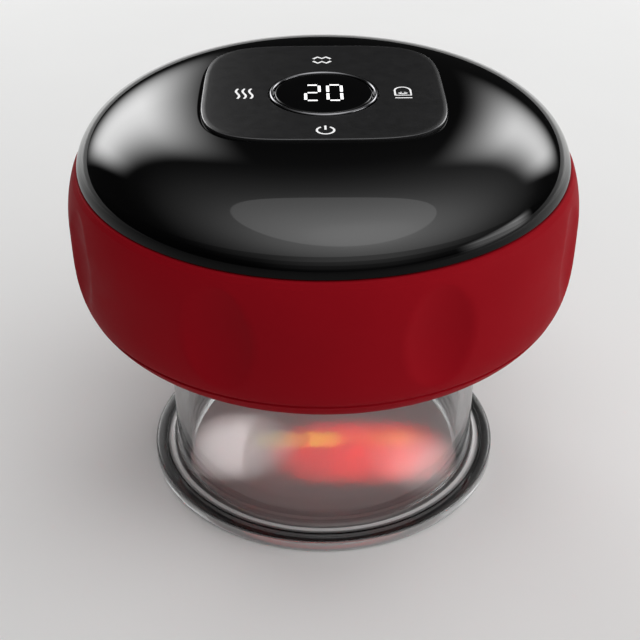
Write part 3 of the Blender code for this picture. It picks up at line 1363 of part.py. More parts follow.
def build_leads():
    """The battery's and the motor's leads."""
    plug_top = BOARD_Z - SEAT_GAP
    plug_low = plug_top - PLUG_SIZE.z
    battery_top = FRAME_TOP_Z + SEAT_GAP + BATTERY_SIZE.z + SEAT_GAP
    middle = (plug_low + battery_top) / 2
    routes = []
    for side in (-1, 1):
        y = BATTERY_Y + side * LEAD_PITCH / 2
        routes.append(
            [
                Vector((BATTERY_PLUG_X, y, plug_low + EMBED)),
                Vector((BATTERY_PLUG_X, y, plug_low - EMBED)),
                Vector((BATTERY_PLUG_X - BATTERY_LEAD_SLACK, y, middle)),
                Vector((BATTERY_PLUG_X, y, battery_top + BATTERY_LEAD_SLACK)),
                Vector((BATTERY_PLUG_X, y, battery_top)),
            ]
        )
    lead_pair("battery_leads", Vector((BATTERY_PLUG_X, BATTERY_Y, plug_top)), routes)
    cap_x = PUMP_X - MOTOR_LENGTH - SEAT_GAP - MOTOR_CAP_THICK - SEAT_GAP
    plug_x = cap_x - MOTOR_PLUG_REACH
    routes = []
    for side in (-1, 1):
        y = PUMP_Y + side * LEAD_PITCH / 2
        foot = Vector((cap_x, PUMP_Y + side * (MOTOR_RADIUS / 2), PUMP_Z))
        away = Vector((MOTOR_PLUG_REACH, 0, 0))
        routes.append(
            [
                Vector((plug_x, y, plug_low + EMBED)),
                Vector((plug_x, y, plug_low - EMBED)),
                Vector((plug_x, (y + foot.y) / 2, (plug_low + PUMP_Z) / 2)),
                foot - away / 2,
                foot,
            ]
        )
    lead_pair("motor_leads", Vector((plug_x, PUMP_Y, plug_top)), routes)


def head_screw_spots(height):
    return [on_circle(HEAD_SCREW_CIRCLE, a, height) for a in angles(HEAD_SCREW_COUNT, FULL_TURN / 4)]


def build_heating_head():
    """The shallow housing under the ceiling, with lamps, magnet, filter and the warm metal disc."""
    top = CEILING_Z - SEAT_GAP
    floor = top - HEAD_FLOOR
    bottom = top - HEAD_DEPTH
    wall = HEAD_RADIUS - HEAD_WALL
    tube_low = floor - AIR_TUBE_DEPTH
    profile = [
        (AIR_TUBE_BORE, top),
        (HEAD_RADIUS, top),
        (HEAD_RADIUS, bottom + HEAD_EDGE),
        (HEAD_RADIUS - HEAD_EDGE, bottom),
        (wall, bottom),
        (wall, floor),
        (AIR_TUBE_RADIUS, floor),
        (AIR_TUBE_RADIUS, tube_low),
        (AIR_TUBE_BORE, tube_low),
    ]
    base = turned("head_base", profile, RING_STEPS, BLACK_PLASTIC)
    hole_radius = HEAD_SCREW_RADIUS + SEAT_GAP
    pierce(base, "head_hole", hole_radius, head_screw_spots(0), floor - OVERRUN, top + OVERRUN)
    tips = head_screw_spots(floor - SEAT_GAP + HEAD_SCREW_LENGTH)
    screws("head_screw", tips, HEAD_SCREW_RADIUS, HEAD_SCREW_LENGTH, Matrix.Rotation(HALF_TURN, 4, "X"))

    lens_low = bottom
    lens_high = lens_low + LENS_THICK
    ring("lamp_lens", LENS_RADIUS, LENS_INNER_RADIUS, lens_low, lens_high, RING_STEPS, RED_LENS)
    lamp_low = lens_high + SEAT_GAP
    lamp_high = lamp_low + LAMP_SIZE.z
    board_high = lamp_high + LAMP_BOARD_THICK
    board_bore = AIR_TUBE_RADIUS + SEAT_GAP
    board = ring("lamp_board", LENS_RADIUS, board_bore, lamp_high, board_high, RING_STEPS, CIRCUIT_GREEN)
    for k, angle in enumerate(angles(LAMP_COUNT, FULL_TURN / LAMP_COUNT / 2)):
        lamp = box(f"lamp_{k}", LAMP_SIZE + Vector((0, 0, EMBED)), (0, 0, EMBED / 2))
        spot = on_circle(LAMP_CIRCLE, angle, (lamp_low + lamp_high) / 2)
        join(board, place(lamp, spot, Matrix.Rotation(angle, 4, "Z")))
    relief = HEAD_SCREW_RADIUS * SCREW_HEAD_SHARE + SEAT_GAP
    pierce(board, "lamp_board_relief", relief, head_screw_spots(0), lamp_low, board_high + OVERRUN)

    radius = LENS_INNER_RADIUS - SEAT_GAP
    plate_low = bottom - HEAT_PLATE_PROUD
    plate_high = plate_low + HEAT_PLATE_THICK
    warm = disc("heat_plate", radius, plate_low, plate_high, RING_STEPS, BRIGHT_METAL, HEAT_PLATE_EDGE)
    spots = [ORIGIN, *[on_circle(AIR_HOLE_CIRCLE, a) for a in angles(AIR_HOLE_COUNT, AIR_HOLE_FIRST)]]
    pierce(warm, "air_hole", AIR_HOLE_RADIUS, spots, plate_low - OVERRUN, plate_high + OVERRUN)
    magnet_low = plate_high + SEAT_GAP
    magnet_radius = radius - MAGNET_RING_INSET
    magnet_high = magnet_low + MAGNET_RING_THICK
    ring("magnet_ring", magnet_radius, MAGNET_RING_BORE, magnet_low, magnet_high, ROUND_STEPS, FERRITE)
    disc("air_filter", AIR_TUBE_BORE - SEAT_GAP, tube_low + SEAT_GAP, top - SEAT_GAP, SMALL_STEPS, SPONGE)


build_grip_shell()
build_top_cover()
build_touch_panel()
build_main_board()
build_touch_springs()
build_suction_cup()
build_cup_seal()
build_cup_socket()
build_inner_frame()
build_pump_strap()
build_battery()
build_charging_inlet()
build_motor()
build_crank()
PUMP_COVER_HIGH = build_pump_head()
build_release_valve()
build_air_lines(PUMP_COVER_HIGH)
build_leads()
build_heating_head()
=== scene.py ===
"""Looks of the electric cupping massager: fine shells, finishes, printed icons, light and camera."""

import math

import bmesh
import bpy
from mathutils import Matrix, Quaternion, Vector


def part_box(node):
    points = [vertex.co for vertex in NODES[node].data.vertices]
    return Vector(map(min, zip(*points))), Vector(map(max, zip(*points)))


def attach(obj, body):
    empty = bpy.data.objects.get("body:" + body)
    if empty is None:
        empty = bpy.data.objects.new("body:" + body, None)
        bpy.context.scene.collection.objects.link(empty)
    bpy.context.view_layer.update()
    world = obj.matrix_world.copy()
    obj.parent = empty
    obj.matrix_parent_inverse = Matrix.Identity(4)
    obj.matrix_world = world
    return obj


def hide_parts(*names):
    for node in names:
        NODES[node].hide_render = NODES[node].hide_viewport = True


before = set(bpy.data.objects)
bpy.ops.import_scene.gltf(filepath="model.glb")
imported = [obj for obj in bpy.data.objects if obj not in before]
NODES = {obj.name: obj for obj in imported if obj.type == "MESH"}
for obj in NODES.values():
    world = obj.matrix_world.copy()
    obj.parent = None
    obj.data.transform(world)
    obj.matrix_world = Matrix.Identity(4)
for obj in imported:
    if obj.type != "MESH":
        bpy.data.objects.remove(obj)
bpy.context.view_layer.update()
MM = 0.001
FULL_TURN = math.tau
QUARTER_TURN = math.pi / 2

# Sizes of the fine shells, which follow the solids that they stand for
SEAT_GAP = 0.3 * MM
RIM_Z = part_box("grip_shell")[1].z
DRUM_RADIUS = 50.0 * MM
DRUM_WALL = 2.2 * MM
SOCKET_RADIUS = 36.2 * MM
SOCKET_BORE = 34.5 * MM
DRUM_MOUTH_RADIUS = SOCKET_RADIUS + SEAT_GAP
DRUM_UNDER_HEIGHT = 24.2 * MM
DRUM_SIDE_POWER = 3.5
DRUM_UNDER_POWER = 4.5
RIM_RISE = 10.6 * MM
RIM_INSET = 1.9 * MM
RIM_POWER = 2.2
DRUM_WIDEST_Z = RIM_Z - RIM_RISE
RIM_ROUNDING = 0.5 * MM
LIP_GROOVE_Z = 44.9 * MM
LIP_GROOVE_WIDTH = 0.5 * MM
LIP_GROOVE_DEPTH = 0.25 * MM
# The groove's outline from above: shares of its depth, and of half its width up from its middle
LIP_GROOVE_SHAPE = ((0, 1.15), (0.2, 0.9), (1, 0.4), (1, -0.4), (0.35, -0.9), (0.2, -1.15))
DIMPLE_COUNT = 8
DIMPLE_HALF_WIDTH = 6.6 * MM
DIMPLE_HALF_HEIGHT = 10.2 * MM
DIMPLE_DEPTH = 1.6 * MM
DIMPLE_DROP = 1.9 * MM
DIMPLE_SOFTNESS = 0.92
DRUM_SEGMENTS = 320
DRUM_RIM_STEPS = 26
DRUM_UNDER_STEPS = 46
INNER_RIM_STEPS = 5
INNER_UNDER_STEPS = 14
INLET_GAP = 2 * SEAT_GAP
INLET_CORNER_SHARE = 0.8
INLET_CUT = (DRUM_RADIUS - 4.0 * MM, DRUM_RADIUS + 2.0 * MM)

SOCKET_LIP_RADIUS = SOCKET_RADIUS + SEAT_GAP / 3
SOCKET_LIP_BORE = SOCKET_BORE + 0.1 * MM
SOCKET_LIP_DROP = 0.03 * MM
SOCKET_LIP_HEIGHT = 2.2 * MM
SOCKET_LIP_OUTER_ROUNDING = 0.35 * MM
SOCKET_LIP_INNER_ROUNDING = 0.25 * MM

DOME_EDGE_RADIUS = DRUM_RADIUS - RIM_INSET - 0.6 * MM
DOME_EDGE_Z = RIM_Z + SEAT_GAP
DOME_RISE = 12.0 * MM
DOME_WALL = 2.2 * MM
DOME_SIDE_POWER = 5.0
DOME_TOP_POWER = 1.75
DOME_SEGMENTS = 256
DOME_FIRST_ROUND = 33.0 * MM
DOME_BLEND_STEPS = 14
DOME_STEPS = 90
INNER_DOME_START = 12.0 * MM
INNER_DOME_STEPS = 24
SKIRT_RADIUS = DRUM_RADIUS - RIM_INSET - DRUM_WALL - 0.4 * MM
SKIRT_WALL = 1.3 * MM
SKIRT_DEPTH = 5.0 * MM
SKIRT_TOP_Z = DOME_EDGE_Z + 2.0 * MM
SKIRT_CLEARANCE = 0.5 * MM
SNAP_REACH = 1.0 * MM
SNAP_HEIGHT = 1.2 * MM
BOARD_BOSS_RADIUS = 2.5 * MM
BOARD_BOSS_SEGMENTS = 24
POCKET_GAP = 0.10 * MM
POCKET_EDGE = 0.06 * MM
POCKET_EDGE_OUT_SHARE = 0.35
POCKET_EDGE_DROP_SHARE = 0.3
# The dome's foot is less glossy the lower it gets: rises above its edge, and the gloss below each
FOOT_RISES = (3.5 * MM, 2.9 * MM, 2.3 * MM, 1.7 * MM)
FOOT_GLOSSES = (0.56, 0.32, 0.18, 0.11)
DISPLAY_HOLE_RADIUS = 8.6 * MM

PANEL_HALF_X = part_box("touch_panel")[1].x
PANEL_SETBACK = (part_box("touch_panel")[0].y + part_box("touch_panel")[1].y) / 2
PANEL_HALF_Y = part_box("touch_panel")[1].y - PANEL_SETBACK
PANEL_LOW, PANEL_HIGH = (corner.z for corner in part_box("touch_panel"))
PANEL_POWER = 4.0
PANEL_HALVINGS = 40
PANEL_SEGMENTS = 256
# The panel's border in millimetres: inset, rise above its foot, and whether the step up to it is polished
PANEL_LOOPS = (
    (0.20, 0.0, False),
    (0.0, 0.20, False),
    (0.0, 0.76, False),
    (0.15, 0.85, True),
    (0.90, 0.882, False),
    (1.80, 0.90, False),
)
PANEL_FACE_SHARES = (0.25, 0.5, 0.75, 1.0)
PANEL_HOLE_RADIUS = 10.55 * MM
POCKET_FLOOR_Z = PANEL_LOW - SEAT_GAP
RING_LOW, RING_HIGH = (corner.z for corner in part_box("window_ring"))
RING_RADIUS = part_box("window_ring")[1].x
RING_BORE = RING_RADIUS - 0.7 * MM
RING_SHOULDER = 0.34 * MM
RING_SEGMENTS = 160
WINDOW_LOW, WINDOW_HIGH = (corner.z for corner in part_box("display_window"))
WINDOW_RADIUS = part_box("display_window")[1].x
WINDOW_EDGE = 0.25 * MM
WINDOW_FLAT_RADIUS = 6.0 * MM
WINDOW_PINHOLE = 0.05 * MM
WINDOW_SEGMENTS = 128

CUP_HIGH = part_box("suction_cup")[1].z
CUP_RADIUS = 32.4 * MM
CUP_BORE = 29.6 * MM
FLANGE_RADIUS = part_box("suction_cup")[1].x
FLANGE_THICK = 2.7 * MM
FLANGE_FILLET = 1.4 * MM
FLANGE_TOP_ROUNDING = 0.7 * MM
FLANGE_FOOT_ROUNDING = 0.6 * MM
FLANGE_GROOVE = 34.7 * MM
# The groove round the flange's top in millimetres: distance out from its start, and depth
FLANGE_GROOVE_STEPS = ((0, 0), (0.1, 0.22), (0.35, 0.22), (0.45, 0))
CUP_FOOT_ROUNDING = 0.7 * MM
CUP_MOUTH_ROUNDING = 0.4 * MM
CUP_MOUTH_BORE_ROUNDING = 0.3 * MM
CUP_WALL_SHARES = (0.2, 0.4, 0.6, 0.8)
CUP_SEGMENTS = 192
LUG_COUNT = 3
LUG_REACH = 1.7 * MM
LUG_HEIGHT = 1.7 * MM
LUG_SPAN = math.radians(18)
LUG_LEAD = 21.6 * MM
LUG_DROP = 0.4 * MM
FIRST_LUG_ANGLE = math.radians(90)
LUG_STEPS = 10
LUG_ROOT = 0.5 * MM
LUG_EDGE = 0.25 * MM


# Finishes

# Nearly all of a noise lies between these values
NOISE_REACH = (0.3, 0.7)
WHITE = (1, 1, 1)


def coordinates(tree, stretch=(1, 1, 1)):
    """Places in the object's own frame, in metres, stretched by three factors."""
    source = tree.nodes.new("ShaderNodeTexCoord")
    mapping = tree.nodes.new("ShaderNodeMapping")
    mapping.inputs["Scale"].default_value = stretch
    tree.links.new(source.outputs["Object"], mapping.inputs["Vector"])
    return mapping.outputs["Vector"]


def noise(tree, size, detail=2.0, roughness=0.5, stretch=(1, 1, 1), distortion=0.0):
    """Noise whose blotches are about size metres wide."""
    node = tree.nodes.new("ShaderNodeTexNoise")
    node.inputs["Scale"].default_value = 1 / size
    node.inputs["Detail"].default_value = detail
    node.inputs["Roughness"].default_value = roughness
    node.inputs["Distortion"].default_value = distortion
    tree.links.new(coordinates(tree, stretch), node.inputs["Vector"])
    return node.outputs["Fac"]


def cells(tree, size, feature="F1"):
    """Distances in a pattern of cells about size metres wide."""
    node = tree.nodes.new("ShaderNodeTexVoronoi")
    node.feature = feature
    node.inputs["Scale"].default_value = 1 / size
    tree.links.new(coordinates(tree), node.inputs["Vector"])
    return node.outputs["Distance"]


def spread(tree, value, low, high, first, last, interpolation="LINEAR"):
    """Maps a value from low to high onto first to last, clamped; each end is a number or a socket."""
    node = tree.nodes.new("ShaderNodeMapRange")
    node.interpolation_type = interpolation
    for name, setting in (("From Min", low), ("From Max", high), ("To Min", first), ("To Max", last)):
        if isinstance(setting, bpy.types.NodeSocket):
            tree.links.new(setting, node.inputs[name])
        else:
            node.inputs[name].default_value = setting
    tree.links.new(value, node.inputs["Value"])
    return node.outputs["Result"]


def ramp(tree, value, stops):
    """A colour ramp of (place, colour) stops."""
    node = tree.nodes.new("ShaderNodeValToRGB")
    while len(node.color_ramp.elements) < len(stops):
        node.color_ramp.elements.new(1.0)
    for element, (position, colour) in zip(node.color_ramp.elements, stops):
        element.position = position
        element.color = (*colour, 1)
    tree.links.new(value, node.inputs["Fac"])
    return node.outputs["Color"]


def finish(name, colour, roughness, metallic=0.0, **sockets):
    """A material with one Principled shader; further sockets are given by name with _ for spaces."""
    made = bpy.data.materials.new(name)
    made.use_nodes = True
    shader = made.node_tree.nodes["Principled BSDF"]
    shader.inputs["Base Color"].default_value = (*colour, 1)
    shader.inputs["Roughness"].default_value = roughness
    shader.inputs["Metallic"].default_value = metallic
    for key, value in sockets.items():
        shader.inputs[key.replace("_", " ")].default_value = value
    return made, made.node_tree, shader


def bump(tree, shader, height, distance, strength=1.0):
    """Fine relief from a height value."""
    node = tree.nodes.new("ShaderNodeBump")
    node.inputs["Distance"].default_value = distance
    node.inputs["Strength"].default_value = strength
    tree.links.new(height, node.inputs["Height"])
    tree.links.new(node.outputs["Normal"], shader.inputs["Normal"])


def maths(tree, operation, *values):
    """A maths node; each value is a float or a socket."""
    node = tree.nodes.new("ShaderNodeMath")
    node.operation = operation
    for socket, value in zip(node.inputs, values):
        if isinstance(value, float):
            socket.default_value = value
        else:
            tree.links.new(value, socket)
    return node.outputs["Value"]


def paint(tree, shader, value, stops):
    """The base colour by a ramp of a value."""
    tree.links.new(ramp(tree, value, stops), shader.inputs["Base Color"])


def polish(tree, shader, value, smooth, rough, reach=NOISE_REACH):
    """Roughness that goes from smooth to rough as a value goes through its reach."""
    tree.links.new(spread(tree, value, *reach, smooth, rough), shader.inputs["Roughness"])


def lit(shader, colour, strength):
    """Lets a finish give off a light of its own."""
    shader.inputs["Emission Color"].default_value = (*colour, 1)
    shader.inputs["Emission Strength"].default_value = strength


def shades(colour, spread_share):
    """A darker and a lighter shade of a colour, spread_share apart from it."""
    return [
        (0.25, tuple(c * (1 - spread_share) for c in colour)),
        (0.75, tuple(min(c * (1 + spread_share), 1) for c in colour)),
    ]


def moulded(name, colour, roughness, grain_size=0.25 * MM, grain_depth=0.006 * MM):
    """Moulded plastic or rubber: fine eroded grain, faint flow marks and uneven gloss."""
    made, tree, shader = finish(name, colour, roughness)
    flow = noise(tree, 14 * MM, 3.0, stretch=(1, 1, 2.2))
    paint(tree, shader, flow, shades(colour, 0.05))
    polish(tree, shader, noise(tree, 2.4 * MM, 4.0), roughness * 0.88, min(roughness * 1.12, 1))
    bump(tree, shader, noise(tree, grain_size, 3.0, 0.6), grain_depth)
    return made


def red_grip():
    """Soft-touch red paint over the moulded drum, with a fine grain and a slightly uneven sheen."""
    colour = (0.275, 0.0046, 0.0100)
    made, tree, shader = finish("red_grip", colour, 0.50, Specular_IOR_Level=0.018)
    paint(tree, shader, noise(tree, 18 * MM, 3.0), shades(colour, 0.045))
    polish(tree, shader, noise(tree, 3.0 * MM, 4.0, 0.6), 0.46, 0.54)
    bump(tree, shader, noise(tree, 0.16 * MM, 3.0, 0.6), 0.0022 * MM)
    return made


def piano_black(name="piano_black", gloss=1.0):
    """High-gloss black with the faint uneven polish of a wiped cover."""
    colour = (0.0010, 0.0010, 0.0011)
    made, tree, shader = finish(name, colour, 0.05, Specular_IOR_Level=gloss)
    smudges = noise(tree, 11 * MM, 5.0, 0.65, distortion=0.6)
    polish(tree, shader, smudges, 0.03, 0.06, (0.42, 0.72))
    paint(tree, shader, noise(tree, 20 * MM, 2.0), shades(colour, 0.12))
    bump(tree, shader, noise(tree, 9 * MM, 1.0), 0.004 * MM)
    return made


def matt_panel():
    """Matt black with a very fine grain."""
    colour = (0.0135, 0.0135, 0.0140)
    made, tree, shader = finish("matt_panel", colour, 0.34, Specular_IOR_Level=0.28)
    paint(tree, shader, noise(tree, 7 * MM, 3.0), shades(colour, 0.06))
    polish(tree, shader, noise(tree, 2.0 * MM, 4.0), 0.31, 0.37)
    bump(tree, shader, noise(tree, 0.09 * MM, 2.0, 0.6), 0.0016 * MM)
    return made


def polished_edge():
    """The panel's cut edge: bright diamond-turned plastic with fine turning marks."""
    made, tree, shader = finish("polished_edge", (0.060, 0.060, 0.063), 0.16, Specular_IOR_Level=0.8)
    polish(tree, shader, noise(tree, 0.6 * MM, 3.0), 0.12, 0.20)
    bump(tree, shader, noise(tree, 0.12 * MM, 2.0, stretch=(1, 1, 6)), 0.001 * MM)
    return made


def chrome():
    """Dark chrome with fine turning marks."""
    made, tree, shader = finish("chrome", (0.27, 0.27, 0.28), 0.10, 1.0)
    polish(tree, shader, noise(tree, 0.8 * MM, 4.0), 0.07, 0.14)
    bump(tree, shader, noise(tree, 0.20 * MM, 2.0, stretch=(1, 1, 5)), 0.0008 * MM)
    return made


def window_glass():
    """The display's black lens, faintly wiped."""
    colour = (0.0022, 0.0022, 0.0024)
    made, tree, shader = finish("window_glass", colour, 0.06, Specular_IOR_Level=0.5)
    polish(tree, shader, noise(tree, 5 * MM, 4.0, 0.6), 0.05, 0.09, (0.4, 0.7))
    paint(tree, shader, noise(tree, 6 * MM, 2.0), shades(colour, 0.15))
    return made


def ink():
    """White ink, a little lit from behind."""
    colour = (0.86, 0.86, 0.86)
    made, tree, shader = finish("white_ink", colour, 0.5)
    lit(shader, WHITE, 0.30)
    paint(tree, shader, noise(tree, 0.5 * MM, 2.0), shades(colour, 0.03))
    bump(tree, shader, noise(tree, 0.08 * MM, 2.0), 0.002 * MM)
    return made


def digits_light():
    """The display's lit segments."""
    colour = (0.9, 0.9, 0.9)
    made, tree, shader = finish("digit_light", colour, 0.4)
    lit(shader, WHITE, 0.85)
    paint(tree, shader, noise(tree, 0.6 * MM, 2.0), shades(colour, 0.02))
    return made


# The cup's greys by height, and up to the flange's top by radius instead, and its clearness by radius, all
# as pairs of a length in millimetres and a level. The greys are the smoke's tint with painted light in it:
# the near-white, partly frosted ring at the fillet's foot is a painted highlight, and the dark band above
# it, the dark line in the flange's groove and the darker flange top are painted shade
CUP_HEIGHT_SMOKE_AND_PAINTED_LIGHT = (
    (0.0, 0.55),
    (2.8, 0.95),
    (3.3, 0.95),
    (3.6, 0.50),
    (5.2, 0.54),
    (5.8, 0.66),
    (9.6, 0.70),
    (10.8, 0.72),
    (14.0, 0.75),
)
CUP_RADIUS_SMOKE_AND_PAINTED_LIGHT = (
    (29.0, 0.60),
    (33.1, 0.60),
    (33.3, 0.97),
    (34.4, 0.97),
    (34.72, 0.08),
    (35.1, 0.08),
    (35.3, 0.30),
    (36.5, 0.26),
    (36.9, 0.80),
    (37.3, 0.85),
)
CUP_CLEARNESS = (
    (33.2, 1.0),
    (33.4, 0.4),
    (34.0, 0.4),
    (34.3, 1.0),
    (37.0, 1.0),
    (37.28, 0.68),
)
CUP_TINTS_MEET = FLANGE_THICK + 0.02 * MM
CUP_SHADOW_TINT = 0.28
CUP_SMOKE = (0.35, 0.36, 0.36)
CUP_SMOKE_DENSITY = 110.0


def grey_ramp(tree, value, tints):
    """Greys by a length in metres, from pairs of a length in millimetres and a grey."""
    low, high = tints[0][0], tints[-1][0]
    place = spread(tree, value, low * MM, high * MM, 0, 1)
    return ramp(tree, place, [((at - low) / (high - low), (grey,) * 3) for at, grey in tints])


def vector_maths(tree, operation, value, factor=(0, 0, 0)):
    """A vector node; its second input is a constant, which some operations don't use."""
    node = tree.nodes.new("ShaderNodeVectorMath")
    node.operation = operation
    node.inputs[1].default_value = factor
    tree.links.new(value, node.inputs[0])
    return node


def clear_cup():
    """Clear smoky plastic, partly frosted at its rim, that lets lamp light through; its greys are painted
    darker at the rim and in bands as shade, and near white at the bead as a painted highlight.
    """
    made, tree, shader = finish("clear_cup", (0.93, 0.93, 0.93), 0.02, IOR=1.46)
    place = coordinates(tree)
    parts = tree.nodes.new("ShaderNodeSeparateXYZ")
    tree.links.new(place, parts.inputs["Vector"])
    level = vector_maths(tree, "MULTIPLY", place, (1, 1, 0)).outputs["Vector"]
    radius = vector_maths(tree, "LENGTH", level).outputs["Value"]
    clearness = grey_ramp(tree, radius, CUP_CLEARNESS)
    tree.links.new(clearness, shader.inputs["Transmission Weight"])
    # The base colour: the smoke's tint, with a painted highlight at the bead and painted shade in bands
    smoke_and_painted_light = tree.nodes.new("ShaderNodeMix")
    smoke_and_painted_light.data_type = "RGBA"
    above_rim = maths(tree, "GREATER_THAN", parts.outputs["Z"], CUP_TINTS_MEET)
    tree.links.new(above_rim, smoke_and_painted_light.inputs["Factor"])
    tree.links.new(grey_ramp(tree, radius, CUP_RADIUS_SMOKE_AND_PAINTED_LIGHT), smoke_and_painted_light.inputs["A"])
    tree.links.new(grey_ramp(tree, parts.outputs["Z"], CUP_HEIGHT_SMOKE_AND_PAINTED_LIGHT), smoke_and_painted_light.inputs["B"])
    tree.links.new(smoke_and_painted_light.outputs["Result"], shader.inputs["Base Color"])
    polish(tree, shader, noise(tree, 6 * MM, 4.0), 0.01, 0.05, (0.35, 0.75))
    bump(tree, shader, noise(tree, 12 * MM, 1.0), 0.03 * MM, 0.4)
    path = tree.nodes.new("ShaderNodeLightPath")
    through = tree.nodes.new("ShaderNodeBsdfTransparent")
    through.inputs["Color"].default_value = (CUP_SHADOW_TINT, CUP_SHADOW_TINT, CUP_SHADOW_TINT, 1)
    mixed = tree.nodes.new("ShaderNodeMixShader")
    tree.links.new(path.outputs["Is Shadow Ray"], mixed.inputs["Fac"])
    tree.links.new(shader.outputs["BSDF"], mixed.inputs[1])
    tree.links.new(through.outputs["BSDF"], mixed.inputs[2])
    output = tree.nodes["Material Output"]
    tree.links.new(mixed.outputs["Shader"], output.inputs["Surface"])
    smoke = tree.nodes.new("ShaderNodeVolumeAbsorption")
    smoke.inputs["Color"].default_value = (*CUP_SMOKE, 1)
    smoke.inputs["Density"].default_value = CUP_SMOKE_DENSITY
    tree.links.new(smoke.outputs["Volume"], output.inputs["Volume"])
    return made


def red_lens():
    """Red diffusing lens over the lamps, faintly lit, with a moulded pattern of cells."""
    colour = (0.62, 0.02, 0.02)
    made, tree, shader = finish("red_lens", colour, 0.22)
    lit(shader, (1.0, 0.03, 0.02), 0.3)
    polish(tree, shader, noise(tree, 1.2 * MM, 3.0), 0.16, 0.28)
    paint(tree, shader, noise(tree, 4 * MM, 3.0), shades(colour, 0.12))
    bump(tree, shader, cells(tree, 0.9 * MM), 0.05 * MM, 0.5)
    return made


def metal(name, colour, roughness, grain, depth=0.002 * MM):
    """Machined or drawn metal: uneven polish and fine tool marks along the grain."""
    made, tree, shader = finish(name, colour, roughness, 1.0)
    paint(tree, shader, noise(tree, 5 * MM, 3.0), shades(colour, 0.06))
    polish(tree, shader, noise(tree, 0.9 * MM, 4.0), roughness * 0.75, roughness * 1.25)
    bump(tree, shader, noise(tree, 0.22 * MM, 3.0, stretch=grain), depth)
    return made


def circuit_board():
    """Green solder mask, lighter over the copper tracks."""
    mask = (0.008, 0.085, 0.028)
    over_track = (0.015, 0.15, 0.05)
    track_middle = (0.015, 0.16, 0.05)
    made, tree, shader = finish("circuit_board", mask, 0.35)
    tracks = cells(tree, 2.6 * MM, "DISTANCE_TO_EDGE")
    paint(tree, shader, tracks, [(0.0, track_middle), (0.06, over_track), (0.09, mask), (1.0, mask)])
    polish(tree, shader, noise(tree, 1.5 * MM, 3.0), 0.28, 0.42)
    bump(tree, shader, tracks, 0.03 * MM, 0.5)
    return made


def copper_wire():
    """Enamelled copper, banded like wound turns, with painted shade between the turns and a painted
    highlight on each.
    """
    colour = (0.62, 0.24, 0.10)
    shadow = (0.30, 0.10, 0.04)
    shine = (0.75, 0.33, 0.15)
    made, tree, shader = finish("copper_wire", colour, 0.32, 1.0)
    wave = tree.nodes.new("ShaderNodeTexWave")
    wave.bands_direction = "Z"
    wave.inputs["Scale"].default_value = 0.45 / MM
    wave.inputs["Distortion"].default_value = 0.4
    tree.links.new(coordinates(tree), wave.inputs["Vector"])
    # Each band goes from painted shade to a painted highlight across the turn
    paint(tree, shader, wave.outputs["Fac"], [(0.0, shadow), (0.5, colour), (1.0, shine)])
    bump(tree, shader, wave.outputs["Fac"], 0.05 * MM, 0.7)
    return made


def battery_wrap():
    """Crinkled silver laminate of a pouch cell, painted darker in the creases' hollows as shade and lighter
    on their ridges as a painted highlight.
    """
    colour = (0.56, 0.58, 0.61)
    made, tree, shader = finish("battery_wrap", colour, 0.34, 0.75)
    creases = noise(tree, 4 * MM, 6.0, 0.7, distortion=1.2)
    # The colour follows the crease relief: painted shade in the hollows, painted highlight on the ridges
    paint(tree, shader, creases, shades(colour, 0.10))
    polish(tree, shader, noise(tree, 2 * MM, 4.0), 0.26, 0.42)
    bump(tree, shader, creases, 0.12 * MM, 0.6)
    return made


def ferrite_block():
    """Sintered magnet: nearly black, with paler specks."""
    made, tree, shader = finish("ferrite_block", (0.045, 0.045, 0.050), 0.62)
    specks = noise(tree, 0.35 * MM, 6.0, 0.75)
    paint(tree, shader, specks, [(0.3, (0.025, 0.025, 0.028)), (0.7, (0.075, 0.075, 0.080))])
    bump(tree, shader, specks, 0.02 * MM, 0.8)
    return made


def open_foam():
    """Pale foam whose pores are painted dark as shade."""
    colour = (0.62, 0.62, 0.58)
    made, tree, shader = finish("open_foam", colour, 0.95)
    pores = cells(tree, 0.5 * MM)
    # The cells' centres, where the bump sinks the pores, are painted dark as shade
    paint(tree, shader, pores, [(0.0, (0.26, 0.26, 0.24)), (0.5, colour), (1.0, (0.72, 0.72, 0.68))])
    bump(tree, shader, pores, 0.2 * MM, 1.0)
    return made


def soft_silicone():
    """Cloudy silicone that lets some light in."""
    made = moulded("soft_silicone", (0.60, 0.60, 0.57), 0.48, 0.4 * MM, 0.01 * MM)
    shader = made.node_tree.nodes["Principled BSDF"]
    shader.inputs["Subsurface Weight"].default_value = 0.2
    shader.inputs["Subsurface Scale"].default_value = 1.5 * MM
    return made


FINISHES = {
    "red_satin": red_grip(),
    "black_gloss": piano_black(),
    "black_matt": matt_panel(),
    "smoked_lens": window_glass(),
    "bright_metal": metal("bright_metal_finish", (0.74, 0.74, 0.75), 0.16, (1, 1, 4)),
    "steel": metal("steel_finish", (0.52, 0.52, 0.54), 0.30, (5, 1, 1), 0.003 * MM),
    "clear_smoke": clear_cup(),
    "red_lens": red_lens(),
    "black_plastic": moulded("black_plastic_finish", (0.018, 0.018, 0.020), 0.46),
    "white_plastic": moulded("white_plastic_finish", (0.70, 0.70, 0.67), 0.45),
    "grey_plastic": moulded("grey_plastic_finish", (0.20, 0.20, 0.21), 0.52),
    "circuit_green": circuit_board(),
    "silicone": soft_silicone(),
    "rubber": moulded("black_rubber", (0.022, 0.022, 0.022), 0.74, 0.3 * MM, 0.012 * MM),
    "copper": copper_wire(),
    "battery_foil": battery_wrap(),
    "ferrite": ferrite_block(),
    "sponge": open_foam(),
}
POLISHED_EDGE = polished_edge()
CHROME = chrome()
FOOT_FINISHES = [piano_black(f"piano_black_foot_{k + 1}", gloss) for k, gloss in enumerate(FOOT_GLOSSES)]
INK = ink()
DIGIT_LIGHT = digits_light()


for node in NODES.values():
    for material_slot in node.material_slots:
        material_slot.material = FINISHES[material_slot.material.name.split(".")[0]]


# Fine meshes

